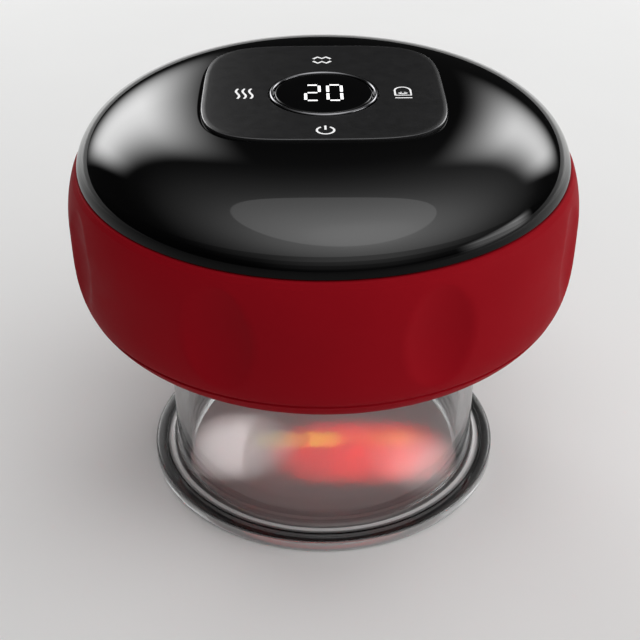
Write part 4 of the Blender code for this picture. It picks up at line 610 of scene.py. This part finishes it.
SHARP_ANGLE = math.radians(35)


def put(name, data):
    """A new object in the scene."""
    made = bpy.data.objects.new(name, data)
    bpy.context.scene.collection.objects.link(made)
    return made


def add(name, mesh, body, finishes):
    """A visible piece, smooth but for its sharp edges, that rides on a body."""
    piece = put(name, mesh)
    for made in finishes:
        mesh.materials.append(made)
    mesh.shade_smooth()
    mesh.set_sharp_from_angle(angle=SHARP_ANGLE)
    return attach(piece, body)


def refinish(mesh, row, count, index):
    """Gives the row of faces between two rings another of the mesh's finishes."""
    for face in range(row * count, (row + 1) * count):
        mesh.polygons[face].material_index = index


def evaluated_mesh(piece):
    """A new mesh of a piece with its modifiers or its bevel applied."""
    bpy.context.view_layer.update()
    graph = bpy.context.evaluated_depsgraph_get()
    return bpy.data.meshes.new_from_object(piece.evaluated_get(graph))


def combine(piece, tools, operation):
    """Cuts tools out of a piece, or joins them to it, and removes them."""
    for tool in tools:
        step = piece.modifiers.new(tool.name, "BOOLEAN")
        step.operation = operation
        step.object = tool
        step.solver = "EXACT"
    made = evaluated_mesh(piece)
    piece.modifiers.clear()
    piece.data = made
    for tool in tools:
        bpy.data.objects.remove(tool)


def grid_of_rings(name, rings, closed=False):
    """A mesh of rings with the same count of points; the last ring joins the first one if closed."""
    count = len(rings[0])
    points = [point for one in rings for point in one]
    faces = []
    pairs = list(zip(range(len(rings)), range(1, len(rings))))
    if closed:
        pairs.append((len(rings) - 1, 0))
    for upper, lower in pairs:
        for k in range(count):
            after = (k + 1) % count
            faces.append(
                (upper * count + k, lower * count + k, lower * count + after, upper * count + after)
            )
    mesh = bpy.data.meshes.new(name)
    mesh.from_pydata(points, [], faces)
    return mesh


def solid_tool(name, rings):
    """A closed solid between the first and the last of some rings."""
    mesh = grid_of_rings(name, rings)
    bm = bmesh.new()
    bm.from_mesh(mesh)
    bmesh.ops.holes_fill(bm, edges=bm.edges)
    bmesh.ops.recalc_face_normals(bm, faces=bm.faces)
    bm.to_mesh(mesh)
    bm.free()
    return put(name, mesh)


def angles(count):
    """Angles at equal steps round a full turn."""
    return [FULL_TURN * k / count for k in range(count)]


def polar(radius, angle, height):
    """The point at a radius, angle and height about the object's axis."""
    return (radius * math.cos(angle), radius * math.sin(angle), height)


def round_ring(radius, height, count):
    """Points round a circle about the axis."""
    return [polar(radius, angle, height) for angle in angles(count)]


def turned_mesh(name, profile, count):
    """A closed mesh turned from (radius, height) points."""
    return grid_of_rings(name, [round_ring(r, z, count) for r, z in profile], closed=True)


def arc(centre, radius, first, last, steps, flatten=1.0):
    """Points of an arc in a plane, angles in degrees; its second axis is stretched by flatten."""
    points = []
    for k in range(steps + 1):
        angle = math.radians(first + (last - first) * k / steps)
        points.append((centre[0] + radius * math.cos(angle), centre[1] + radius * flatten * math.sin(angle)))
    return points


def drum_profile(rim_steps, under_steps, inset=0.0):
    """The drum's outline from its rim down and in to its mouth."""
    widest = DRUM_RADIUS - inset
    points = []
    for k in range(rim_steps):
        share = 1 - k / rim_steps
        points.append((widest - RIM_INSET * share**RIM_POWER, DRUM_WIDEST_Z + RIM_RISE * share))
    mouth = math.acos((DRUM_MOUTH_RADIUS / widest) ** (DRUM_SIDE_POWER / 2))
    for k in range(under_steps + 1):
        angle = mouth * (k / under_steps) ** 2
        radius = widest * math.cos(angle) ** (2 / DRUM_SIDE_POWER)
        drop = (DRUM_UNDER_HEIGHT - inset) * math.sin(angle) ** (2 / DRUM_UNDER_POWER)
        points.append((radius, DRUM_WIDEST_Z - drop))
    return points


def grooved(profile):
    """The profile with a fine groove round the drum's lower lip."""
    radius, _ = min(profile, key=lambda point: abs(point[1] - LIP_GROOVE_Z))
    above = [point for point in profile if point[1] > LIP_GROOVE_Z + LIP_GROOVE_WIDTH]
    below = [point for point in profile if point[1] < LIP_GROOVE_Z - LIP_GROOVE_WIDTH]
    half = LIP_GROOVE_WIDTH / 2
    groove = [
        (radius - LIP_GROOVE_DEPTH * deep, LIP_GROOVE_Z + half * up) for deep, up in LIP_GROOVE_SHAPE
    ]
    return [*above, *groove, *below]


def dimple_depth(angle, height):
    """How far the drum's side is pressed in at an angle and height."""
    pitch = FULL_TURN / DIMPLE_COUNT
    across = angle % pitch - pitch / 2
    along = height - (DRUM_WIDEST_Z - DIMPLE_DROP)
    share = (across * DRUM_RADIUS / DIMPLE_HALF_WIDTH) ** 2 + (along / DIMPLE_HALF_HEIGHT) ** 2
    return DIMPLE_DEPTH * (1 - share) ** DIMPLE_SOFTNESS if share < 1 else 0.0


def drum_ring(radius, height):
    """A ring of the drum's outside, with its dimples."""
    return [
        polar(radius - dimple_depth(angle, height), angle, height) for angle in angles(DRUM_SEGMENTS)
    ]


def make_grip_shell():
    """The red drum: rounded rim, dimples, lip groove and inlet, with the wall's inside."""
    outer = grooved(drum_profile(DRUM_RIM_STEPS, DRUM_UNDER_STEPS))
    rim_radius = outer[0][0]
    rounding = arc((rim_radius - RIM_ROUNDING, RIM_Z - RIM_ROUNDING), RIM_ROUNDING, 90, 10, 5)
    outer = [*rounding, *[point for point in outer if point[1] < RIM_Z - RIM_ROUNDING]]
    inner = drum_profile(INNER_RIM_STEPS, INNER_UNDER_STEPS, DRUM_WALL)
    rings = [drum_ring(*point) for point in outer]
    rings += [round_ring(r, z, DRUM_SEGMENTS) for r, z in reversed(inner)]
    mesh = grid_of_rings("grip_shell_fine", rings, closed=True)
    shell = add("grip_shell_fine", mesh, "housing", [FINISHES["red_satin"]])
    combine(shell, [inlet_tool()], "DIFFERENCE")
    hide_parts("grip_shell")


def inlet_tool():
    """The rounded opening in the drum's back in front of the charging socket."""
    low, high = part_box("charge_socket")
    centre_z = (low.z + high.z) / 2
    half_x = (high.x - low.x) / 2 + INLET_GAP
    half_z = (high.z - low.z) / 2 + INLET_GAP
    corner = half_z * INLET_CORNER_SHARE
    outline = []
    for x_side, z_side, first in ((1, 1, 0), (-1, 1, 90), (-1, -1, 180), (1, -1, 270)):
        centre = (x_side * (half_x - corner), centre_z + z_side * (half_z - corner))
        outline += arc(centre, corner, first, first + 90, 6)
    return solid_tool("inlet_tool", [[(x, y, z) for x, z in outline] for y in INLET_CUT])


def squircle_radius(half_x, half_y, angle):
    """How far the panel's superellipse, which is set back, lies from the axis, found by halving."""
    low, high = 0.0, 2 * (half_x + half_y)
    for _ in range(PANEL_HALVINGS):
        radius = (low + high) / 2
        along = abs(radius * math.cos(angle) / half_x) ** PANEL_POWER
        across = abs((radius * math.sin(angle) - PANEL_SETBACK) / half_y) ** PANEL_POWER
        if along + across < 1:
            low = radius
        else:
            high = radius
    return radius


def squircle_ring(half_x, half_y, height, count):
    """A ring along the panel's outline."""
    return [polar(squircle_radius(half_x, half_y, angle), angle, height) for angle in angles(count)]


def dome_height(radius):
    """The height of the dome's outside at a radius."""
    share = min(radius / DOME_EDGE_RADIUS, 1) ** DOME_SIDE_POWER
    return DOME_EDGE_Z + DOME_RISE * (1 - share) ** (1 / DOME_TOP_POWER)


def dome_ring(share):
    """A ring on the dome, share of the way from the panel's pocket to its first round ring."""
    ring = []
    for angle in angles(DOME_SEGMENTS):
        first = squircle_radius(PANEL_HALF_X + POCKET_GAP, PANEL_HALF_Y + POCKET_GAP, angle) + POCKET_EDGE
        radius = first + (DOME_FIRST_ROUND - first) * share
        ring.append(polar(radius, angle, dome_height(radius)))
    return ring


def pocket_ring(inset, drop=None):
    """A ring of the pocket's wall, on its floor or a drop below the dome."""
    reach = POCKET_GAP + inset
    floor = squircle_ring(PANEL_HALF_X + reach, PANEL_HALF_Y + reach, POCKET_FLOOR_Z, DOME_SEGMENTS)
    if drop is None:
        return floor
    return [(x, y, dome_height(math.hypot(x, y)) - drop) for x, y, _ in floor]


def dome_profile(first_radius, steps, inset=0.0):
    """Points (radius, height) of the dome from a radius out and down to its edge, set in by inset."""
    edge = DOME_EDGE_RADIUS - inset
    first = math.asin((first_radius / edge) ** (DOME_SIDE_POWER / 2))
    points = []
    for k in range(steps + 1):
        angle = first + (QUARTER_TURN - first) * k / steps
        radius = edge * math.sin(angle) ** (2 / DOME_SIDE_POWER)
        rise = (DOME_RISE - inset) * max(math.cos(angle), 0) ** (2 / DOME_TOP_POWER)
        points.append((radius, DOME_EDGE_Z + rise))
    return points


def make_top_cover():
    """The dome with its pocket, display hole, skirt and snap bead, as one closed shell."""
    count = DOME_SEGMENTS
    inner_top = DOME_EDGE_Z + DOME_RISE - DOME_WALL
    rings = [
        round_ring(DISPLAY_HOLE_RADIUS, inner_top, count),
        round_ring(DISPLAY_HOLE_RADIUS, POCKET_FLOOR_Z, count),
        pocket_ring(0.0),
        pocket_ring(0.0, POCKET_EDGE),
        pocket_ring(POCKET_EDGE_OUT_SHARE * POCKET_EDGE, POCKET_EDGE_DROP_SHARE * POCKET_EDGE),
    ]
    rings += [dome_ring(k / DOME_BLEND_STEPS) for k in range(DOME_BLEND_STEPS + 1)]
    outer = dome_profile(DOME_FIRST_ROUND, DOME_STEPS)[1:]
    first_outer = len(rings)
    rings += [round_ring(r, z, count) for r, z in outer]
    skirt_bore = SKIRT_RADIUS - SKIRT_WALL
    skirt_low = RIM_Z - SKIRT_DEPTH
    skirt = [
        (SKIRT_RADIUS, DOME_EDGE_Z),
        (SKIRT_RADIUS, skirt_low + 2 * SNAP_HEIGHT),
        (SKIRT_RADIUS + SNAP_REACH, skirt_low + SNAP_HEIGHT),
        (SKIRT_RADIUS, skirt_low),
        (skirt_bore, skirt_low),
        (skirt_bore, SKIRT_TOP_Z),
    ]
    rings += [round_ring(r, z, count) for r, z in skirt]
    inner = dome_profile(INNER_DOME_START, INNER_DOME_STEPS, DOME_WALL)
    inner = [point for point in inner if point[0] < skirt_bore - SKIRT_CLEARANCE]
    rings += [round_ring(r, z, count) for r, z in reversed(inner)]
    mesh = grid_of_rings("top_cover_fine", rings, closed=True)
    add_board_bosses(mesh)
    finishes = [FINISHES["black_gloss"], *FOOT_FINISHES]
    cover = add("top_cover_fine", mesh, "housing", finishes)
    for k, (_, height) in enumerate(outer):
        steps = [foot for foot, rise in enumerate(FOOT_RISES, 1) if height < DOME_EDGE_Z + rise]
        if steps:
            refinish(mesh, first_outer + k - 1, count, steps[-1])
    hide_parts("top_cover")


def make_socket_lip():
    """The smooth rounded lip of the cup's socket, which shows below the drum's mouth."""
    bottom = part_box("cup_socket")[0].z - SOCKET_LIP_DROP
    top = bottom + SOCKET_LIP_HEIGHT
    outer = SOCKET_LIP_OUTER_ROUNDING
    inner = SOCKET_LIP_INNER_ROUNDING
    profile = [
        *arc((SOCKET_LIP_RADIUS - outer, bottom + outer), outer, 0, -90, 6),
        *arc((SOCKET_LIP_BORE + inner, bottom + inner), inner, 270, 180, 5),
        (SOCKET_LIP_BORE, top),
        (SOCKET_LIP_RADIUS, top),
    ]
    mesh = turned_mesh("socket_lip", profile, CUP_SEGMENTS)
    add("socket_lip", mesh, "housing", [FINISHES["black_plastic"]])


def add_board_bosses(mesh):
    """The three posts that the circuit board's screws hold, as part of the cover."""
    bm = bmesh.new()
    bm.from_mesh(mesh)
    for k in (1, 2, 3):
        low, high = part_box(f"board_screw_{k}")
        centre = (low + high) / 2
        board_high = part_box("touch_spring_power")[0].z
        reach = math.hypot(centre.x, centre.y) + BOARD_BOSS_RADIUS
        top = dome_height(reach) - DOME_WALL / 2
        outline = [Vector(p) for p in round_ring(BOARD_BOSS_RADIUS, 0, BOARD_BOSS_SEGMENTS)]
        foot = [bm.verts.new((centre.x + p.x, centre.y + p.y, board_high)) for p in outline]
        head = [bm.verts.new((centre.x + p.x, centre.y + p.y, top)) for p in outline]
        for a in range(BOARD_BOSS_SEGMENTS):
            b = (a + 1) % BOARD_BOSS_SEGMENTS
            bm.faces.new((foot[a], foot[b], head[b], head[a]))
        bm.faces.new(head)
        bm.faces.new(list(reversed(foot)))
    bm.to_mesh(mesh)
    bm.free()


def make_touch_panel():
    """The matt panel: a polished outer edge, a sloped border and a flat face round the window."""
    count = PANEL_SEGMENTS
    rings = []
    for inset, rise, _ in PANEL_LOOPS:
        half_x = PANEL_HALF_X - inset * MM
        half_y = PANEL_HALF_Y - inset * MM
        rings.append(squircle_ring(half_x, half_y, PANEL_LOW + rise * MM, count))
    for share in PANEL_FACE_SHARES:
        ring = []
        for angle in angles(count):
            outside = squircle_radius(half_x, half_y, angle)
            radius = outside + (PANEL_HOLE_RADIUS - outside) * share
            ring.append(polar(radius, angle, PANEL_HIGH))
        rings.append(ring)
    rings.append(round_ring(PANEL_HOLE_RADIUS, PANEL_LOW, count))
    mesh = grid_of_rings("touch_panel_fine", rings, closed=True)
    panel = add(
        "touch_panel_fine", mesh, "housing", [FINISHES["black_matt"], POLISHED_EDGE]
    )
    for k, (_, _, polished) in enumerate(PANEL_LOOPS):
        if polished:
            refinish(mesh, k - 1, count, 1)
    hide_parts("touch_panel")


def make_window():
    """The bright ring with rounded shoulders and the black lens inside it."""
    shoulder = RING_SHOULDER
    rim = arc((RING_RADIUS - shoulder, RING_HIGH - shoulder), shoulder, 0, 90, 5)
    rim += arc((RING_BORE + shoulder, RING_HIGH - shoulder), shoulder, 90, 180, 5)
    profile = [(RING_RADIUS, RING_LOW), *rim, (RING_BORE, RING_LOW)]
    mesh = turned_mesh("window_ring_fine", list(reversed(profile)), RING_SEGMENTS)
    ring = add("window_ring_fine", mesh, "housing", [CHROME])
    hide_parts("window_ring")

    edge = WINDOW_EDGE
    profile = [
        (WINDOW_PINHOLE, WINDOW_HIGH),
        (WINDOW_FLAT_RADIUS, WINDOW_HIGH),
        *arc((WINDOW_RADIUS - edge, WINDOW_HIGH - edge), edge, 90, 0, 5),
        (WINDOW_RADIUS, WINDOW_LOW),
        (WINDOW_PINHOLE, WINDOW_LOW),
    ]
    mesh = turned_mesh("display_window_fine", profile, WINDOW_SEGMENTS)
    lens = add("display_window_fine", mesh, "housing", [FINISHES["smoked_lens"]])
    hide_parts("display_window")


def make_suction_cup():
    """The clear cup with its rounded rim, seat groove, fillet and the three lugs at its mouth."""
    mouth = CUP_MOUTH_ROUNDING
    mouth_bore = CUP_MOUTH_BORE_ROUNDING
    flange_top = FLANGE_TOP_ROUNDING
    flange_foot = FLANGE_FOOT_ROUNDING
    foot = CUP_FOOT_ROUNDING
    fillet_centre = (CUP_RADIUS + FLANGE_FILLET, FLANGE_THICK + FLANGE_FILLET)
    profile = [
        *arc((CUP_BORE + mouth_bore, CUP_HIGH - mouth_bore), mouth_bore, 180, 90, 4),
        *arc((CUP_RADIUS - mouth, CUP_HIGH - mouth), mouth, 90, 0, 4),
        *[(CUP_RADIUS, CUP_HIGH * share) for share in reversed(CUP_WALL_SHARES)],
        *arc(fillet_centre, FLANGE_FILLET, 180, 270, 8),
        *[(FLANGE_GROOVE + out * MM, FLANGE_THICK - drop * MM) for out, drop in FLANGE_GROOVE_STEPS],
        *arc((FLANGE_RADIUS - flange_top, FLANGE_THICK - flange_top), flange_top, 90, 0, 6),
        *arc((FLANGE_RADIUS - flange_foot, flange_foot), flange_foot, 0, -90, 5),
        *arc((CUP_BORE + foot, foot), foot, 270, 180, 6),
        *[(CUP_BORE, CUP_HIGH * share) for share in CUP_WALL_SHARES],
    ]
    mesh = turned_mesh("suction_cup_fine", profile, CUP_SEGMENTS)
    cup = add("suction_cup_fine", mesh, "cup", [FINISHES["clear_smoke"]])
    tools = [lug_tool(FIRST_LUG_ANGLE + turn) for turn in angles(LUG_COUNT)]
    combine(cup, tools, "UNION")
    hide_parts("suction_cup")


def lug_tool(angle):
    """One thread lug: a bar that climbs round the mouth, with rounded outer corners."""
    top = CUP_HIGH - LUG_DROP - LUG_LEAD * LUG_SPAN / FULL_TURN
    low = top - LUG_HEIGHT
    root = CUP_RADIUS - LUG_ROOT
    reach = CUP_RADIUS + LUG_REACH
    section = [
        (root, top),
        (reach - LUG_EDGE, top),
        (reach, top - LUG_EDGE),
        (reach, low + LUG_EDGE),
        (reach - LUG_EDGE, low),
        (root, low),
    ]
    sections = []
    for k in range(LUG_STEPS + 1):
        turn = angle + LUG_SPAN * (k / LUG_STEPS - 0.5)
        climb = LUG_LEAD * LUG_SPAN * (k / LUG_STEPS) / FULL_TURN
        sections.append([polar(r, turn, z + climb) for r, z in section])
    return solid_tool("lug_tool", sections)


make_grip_shell()
make_top_cover()
make_touch_panel()
make_window()
make_suction_cup()
make_socket_lip()


# Icons and digits

INK_FLATTEN = 0.10
# Widths of the icons' strokes, tuned so that each icon looks as bold as in the photograph
HEAT_STROKE = 0.42 * MM
POWER_STROKE = 0.40 * MM
MODE_STROKE = 0.56 * MM
SUCTION_STROKE = 0.36 * MM
DIGIT_STROKE = 0.56 * MM
KEY_SIDE = 15.0 * MM
KEY_FRONT = 16.5 * MM
WAVE_STEPS = 24


def stroke_piece(name, lines, width, centre, height, made):
    """Printed strokes: flattened round lines that lie on a face at a height."""
    curve = bpy.data.curves.new(name, "CURVE")
    curve.dimensions = "3D"
    curve.bevel_depth = width / 2
    curve.bevel_resolution = 2
    curve.use_fill_caps = True
    for line in lines:
        spline = curve.splines.new("POLY")
        spline.points.add(len(line) - 1)
        for point, (x, y) in zip(spline.points, line):
            point.co = (x * MM, y * MM, 0, 1)
    holder = put(name + "_line", curve)
    mesh = evaluated_mesh(holder)
    bpy.data.objects.remove(holder)
    for vertex in mesh.vertices:
        x, y, z = vertex.co
        vertex.co = (centre[0] + x, centre[1] + y, height + z * INK_FLATTEN)
    mesh.name = name
    return add(name, mesh, "housing", [made])


def wave_line(x, low, high, reach):
    """One rising heat wave, an S between two heights."""
    points = []
    for k in range(WAVE_STEPS + 1):
        share = k / WAVE_STEPS
        points.append((x + reach * math.sin(FULL_TURN * share), low + (high - low) * share))
    return points


def make_icons():
    """The four touch icons, drawn in millimetres about their own centres."""
    face = PANEL_HIGH
    waves = [wave_line(x, -2.3, 2.3, 0.34) for x in (-1.25, 0.0, 1.25)]
    stroke_piece("icon_heat", waves, HEAT_STROKE, (-KEY_SIDE, 0), face, INK)

    power = [arc((0, 0), 1.55, 122, 418, 40), [(0, 1.9), (0, 0.2)]]
    stroke_piece("icon_power", power, POWER_STROKE, (0, -KEY_FRONT), face, INK)

    peaks = ((-1.75, 0.6), (-0.85, 1.6), (0, 0.8), (0.85, 1.6), (1.75, 0.6))
    zigzag = [[(x, y * side) for x, y in peaks] for side in (1, -1)]
    stroke_piece("icon_mode", zigzag, MODE_STROKE, (0, KEY_FRONT), face, INK)

    arch = [(-1.5, -1.3), *arc((0, 0.9), 1.5, 180, 0, 20, 1.1), (1.5, -1.3), (-1.5, -1.3)]
    base = [(-1.6, -2.5), (1.6, -2.5)]
    smile = arc((0, 0.2), 0.85, 205, 335, 8)
    ticks = [[(x, -0.1), (x, 0.15)] for x in (-0.35, 0.35)]
    stroke_piece("icon_suction", [arch, base, smile, *ticks], SUCTION_STROKE, (KEY_SIDE, 0), face, INK)


# Lines of a seven-segment digit, its half height as 1 and its width as 1
SEGMENT_LINES = {
    "top": ((-0.5, 1), (0.5, 1)),
    "middle": ((-0.5, 0), (0.5, 0)),
    "bottom": ((-0.5, -1), (0.5, -1)),
    "upper_left": ((-0.5, 1), (-0.5, 0)),
    "upper_right": ((0.5, 1), (0.5, 0)),
    "lower_left": ((-0.5, 0), (-0.5, -1)),
    "lower_right": ((0.5, 0), (0.5, -1)),
}
DIGIT_SEGMENTS = {
    "2": ("top", "upper_right", "middle", "lower_left", "bottom"),
    "0": ("top", "upper_left", "upper_right", "lower_left", "lower_right", "bottom"),
}
DIGITS = (("2", -2.1), ("0", 2.1))
DIGIT_WIDTH = 2.6
DIGIT_HALF_HEIGHT = 3.6
SEGMENT_TRIM = 0.38


def make_digits():
    """The lit digits on the lens."""
    for number, (digit, centre_x) in enumerate(DIGITS):
        lines = []
        for segment in DIGIT_SEGMENTS[digit]:
            (x_a, y_a), (x_b, y_b) = SEGMENT_LINES[segment]
            a = Vector((x_a * DIGIT_WIDTH, y_a * DIGIT_HALF_HEIGHT))
            b = Vector((x_b * DIGIT_WIDTH, y_b * DIGIT_HALF_HEIGHT))
            trim = (b - a).normalized() * SEGMENT_TRIM
            lines.append([(a + trim)[:], (b - trim)[:]])
        centre = (centre_x * MM, 0)
        stroke_piece(f"digit_{number + 1}", lines, DIGIT_STROKE, centre, WINDOW_HIGH, DIGIT_LIGHT)


make_icons()
make_digits()


# Floor, light and camera

FLOOR_SIZE = 24.0
FLOOR_GAP = 0.05 * MM
FLOOR_COLOUR = (0.84, 0.84, 0.835)
# Where the softboxes point
AIM = Vector((0, 0, 55 * MM))
OVERHEAD_PLACE = (0.066, -0.140, 0.78)
OVERHEAD_AIM = (0.066, -0.1401, 0)
OVERHEAD_WIDTH = 0.75
OVERHEAD_HEIGHT = 0.925
OVERHEAD_RADIANCE = 0.40
OVERHEAD_ROLL = 20

# The lamps of the cup's glow: name, where it hangs and what it points at in x and y, and its size, in
# millimetres; then its power in watts, its colour and its spread in degrees
GLOW_HIGH = 38.2 * MM
AMBER = (0.7, 0.76, 0.01)
AMBER_POWER_PER_MM = 0.00072 / 17
PALE = (1, 0.92, 0.92)
GLOW_LAMPS = (
    ("red_glow", (8.0, -4.6), (8.0, -4.7), (25, 4), 0.0057, (1, 0.002, 0.002), 33),
    ("amber_left", (-6.0, -0.3), (-6.0, -0.4), (19, 0.8), 19 * AMBER_POWER_PER_MM, AMBER, 9),
    ("amber_right", (14.8, -0.3), (14.8, -0.4), (12, 0.8), 12 * AMBER_POWER_PER_MM, AMBER, 9),
    ("pale_left", (-19.0, -1.9), (-19.5, -2.0), (6, 9), 0.0022, PALE, 32),
    ("pale_right", (22.0, -8.9), (22.5, -9.0), (7, 14), 0.0006, PALE, 28),
)

PHOTO_WIDTH = 640
CAMERA_LENS = 70.66
CAMERA_SENSOR = 36
CAMERA_SHIFT = -3.6 / PHOTO_WIDTH
CAMERA_NEAR = 0.01
CAMERA_PLACE = (-0.004645, -0.22176, 0.17771)
CAMERA_PITCH = 56.55
CAMERA_YAW = -1.2

# What the camera sees beyond the floor, and the sky that lights the object: its brightest point, and pairs
# of the cosine of the angle from there and the radiance
BACKDROP_LEVEL = 0.62
SKY_CENTRE = (30, 65)
SKY_STOPS = (
    (0.0, 0.012),
    (0.18, 0.018),
    (0.301, 0.036),
    (0.462, 0.125),
    (0.609, 0.27),
    (0.737, 0.49),
    (0.843, 0.76),
    (0.924, 1.02),
    (0.976, 1.32),
    (1.0, 1.42),
)


def make_floor():
    """A wide pale floor just below the object."""
    half = FLOOR_SIZE / 2
    corners = [(-half, -half, 0), (half, -half, 0), (half, half, 0), (-half, half, 0)]
    mesh = bpy.data.meshes.new("floor")
    mesh.from_pydata(corners, [], [(0, 1, 2, 3)])
    floor = put("floor", mesh)
    floor.location.z = -FLOOR_GAP
    made, tree, shader = finish("floor_paper", FLOOR_COLOUR, 0.9)
    paint(tree, shader, noise(tree, 60 * MM, 2.0), shades(FLOOR_COLOUR, 0.01))
    mesh.materials.append(made)


def lamp_direction(azimuth, elevation):
    """The direction to a lamp: azimuth 0 is toward the viewer and 90 toward +X."""
    a = math.radians(azimuth)
    e = math.radians(elevation)
    return Vector((math.sin(a) * math.cos(e), -math.cos(a) * math.cos(e), math.sin(e)))


def soft_edge(lamp, cores):
    """Fades a lamp's light from cores of its half width and half height out to its sides."""
    lamp.use_nodes = True
    tree = lamp.node_tree
    place = tree.nodes.new("ShaderNodeNewGeometry")
    parts = tree.nodes.new("ShaderNodeSeparateXYZ")
    tree.links.new(place.outputs["Parametric"], parts.inputs["Vector"])
    fades = []
    for side, core in zip(("X", "Y"), cores):
        off_centre = maths(tree, "ABSOLUTE", maths(tree, "SUBTRACT", parts.outputs[side], 0.5))
        fades.append(spread(tree, off_centre, core * 0.5, 0.5, 1.0, 0.0, "SMOOTHSTEP"))
    both = maths(tree, "MULTIPLY", *fades)
    tree.links.new(both, tree.nodes["Emission"].inputs["Strength"])


def radiant_power(radiance, area):
    """The power at which a flat lamp of an area has a radiance."""
    return radiance * math.pi * area


def area_lamp(name, shape, place, aim, width, height, power, roll=0.0):
    """A flat lamp that faces a point, rolled by an angle."""
    lamp = bpy.data.lights.new(name, "AREA")
    lamp.shape = shape
    lamp.size = width
    lamp.size_y = height
    lamp.energy = power
    placed = put(name, lamp)
    placed.location = place
    turn = (Vector(place) - Vector(aim)).to_track_quat("Z", "Y") @ Quaternion((0, 0, 1), roll)
    placed.rotation_euler = turn.to_euler()
    return placed


def softbox(name, azimuth, elevation, distance, half_wide, half_high, radiance, cores, roll=0):
    """A rectangular softbox, its half extents and roll in degrees as the object sees them."""
    width = 2 * distance * math.tan(math.radians(half_wide))
    height = 2 * distance * math.tan(math.radians(half_high))
    place = AIM + lamp_direction(azimuth, elevation) * distance
    power = radiant_power(radiance, width * height)
    placed = area_lamp(name, "RECTANGLE", place, AIM, width, height, power, math.radians(roll))
    soft_edge(placed.data, cores)
    return placed


def make_lights():
    """Two softboxes for the dome's reflections, three for the drum, and a dim ellipse overhead."""
    softbox("back_left", -149.2, 22.0, 0.70, 22.5, 20, 4.0, (0.37, 0.05), -11.8)
    softbox("back_right", 140.9, 25.0, 0.70, 23, 17.6, 3.9, (0.34, 0.0), 20.2)
    softbox("front_fill", 10, 16, 0.90, 40, 20, 0.24, (0.25, 0.25))
    softbox("low_right", 76, 5, 0.60, 22, 10, 3.5, (0.4, 0.4))
    right_fill = softbox("right_fill", 84, 14, 0.60, 24, 16, 1.6, (0.9, 0.9))
    right_fill.visible_glossy = False
    width, height = OVERHEAD_WIDTH, OVERHEAD_HEIGHT
    power = radiant_power(OVERHEAD_RADIANCE, math.pi / 4 * width * height)
    roll = math.radians(OVERHEAD_ROLL)
    area_lamp("overhead", "ELLIPSE", OVERHEAD_PLACE, OVERHEAD_AIM, width, height, power, roll)


def make_glow():
    """Small lamps inside the cup that shine down to the skin side and aren't seen themselves."""
    for name, (x, y), (aim_x, aim_y), (width, height), power, colour, spread_angle in GLOW_LAMPS:
        place = (x * MM, y * MM, GLOW_HIGH)
        aim = (aim_x * MM, aim_y * MM, 0)
        placed = area_lamp(name, "ELLIPSE", place, aim, width * MM, height * MM, power)
        placed.data.color = colour
        placed.data.spread = math.radians(spread_angle)
        placed.visible_camera = placed.visible_glossy = placed.visible_transmission = False


def make_camera():
    """The camera that was solved from the photograph's outlines."""
    data = bpy.data.cameras.new("photo_camera")
    data.lens = CAMERA_LENS
    data.sensor_width = CAMERA_SENSOR
    data.shift_x = CAMERA_SHIFT
    data.clip_start = CAMERA_NEAR
    placed = put("photo_camera", data)
    placed.location = CAMERA_PLACE
    placed.rotation_euler = (math.radians(CAMERA_PITCH), 0, math.radians(CAMERA_YAW))
    bpy.context.scene.camera = placed


def make_world():
    """A soft studio sky, brightest high in front to the right, with an even backdrop for the camera."""
    world = bpy.data.worlds.new("studio")
    world.use_nodes = True
    tree = world.node_tree
    source = tree.nodes.new("ShaderNodeTexCoord")
    to_centre = lamp_direction(*SKY_CENTRE)
    toward = vector_maths(tree, "DOT_PRODUCT", source.outputs["Generated"], to_centre)
    level = tree.nodes.new("ShaderNodeFloatCurve")
    curve = level.mapping.curves[0]
    while len(curve.points) < len(SKY_STOPS):
        curve.points.new(1.0, 1.0)
    brightest = SKY_STOPS[-1][1]
    for point, (cosine, radiance) in zip(curve.points, SKY_STOPS):
        point.location = (cosine, radiance / brightest)
    level.mapping.update()
    tree.links.new(toward.outputs["Value"], level.inputs["Value"])
    sky = maths(tree, "MULTIPLY", level.outputs["Value"], brightest)
    path = tree.nodes.new("ShaderNodeLightPath")
    first_bounce = maths(tree, "LESS_THAN", path.outputs["Diffuse Depth"], 0.5)
    through = maths(tree, "MULTIPLY", path.outputs["Is Transmission Ray"], first_bounce)
    seen = maths(tree, "MAXIMUM", path.outputs["Is Camera Ray"], through)
    strength = spread(tree, seen, 0.0, 1.0, sky, BACKDROP_LEVEL)
    background = tree.nodes["Background"]
    background.inputs["Color"].default_value = (1, 1, 1, 1)
    tree.links.new(strength, background.inputs["Strength"])
    bpy.context.scene.world = world


make_floor()
make_lights()
make_glow()
make_camera()
make_world()
bpy.context.scene.view_settings.view_transform = "Standard"
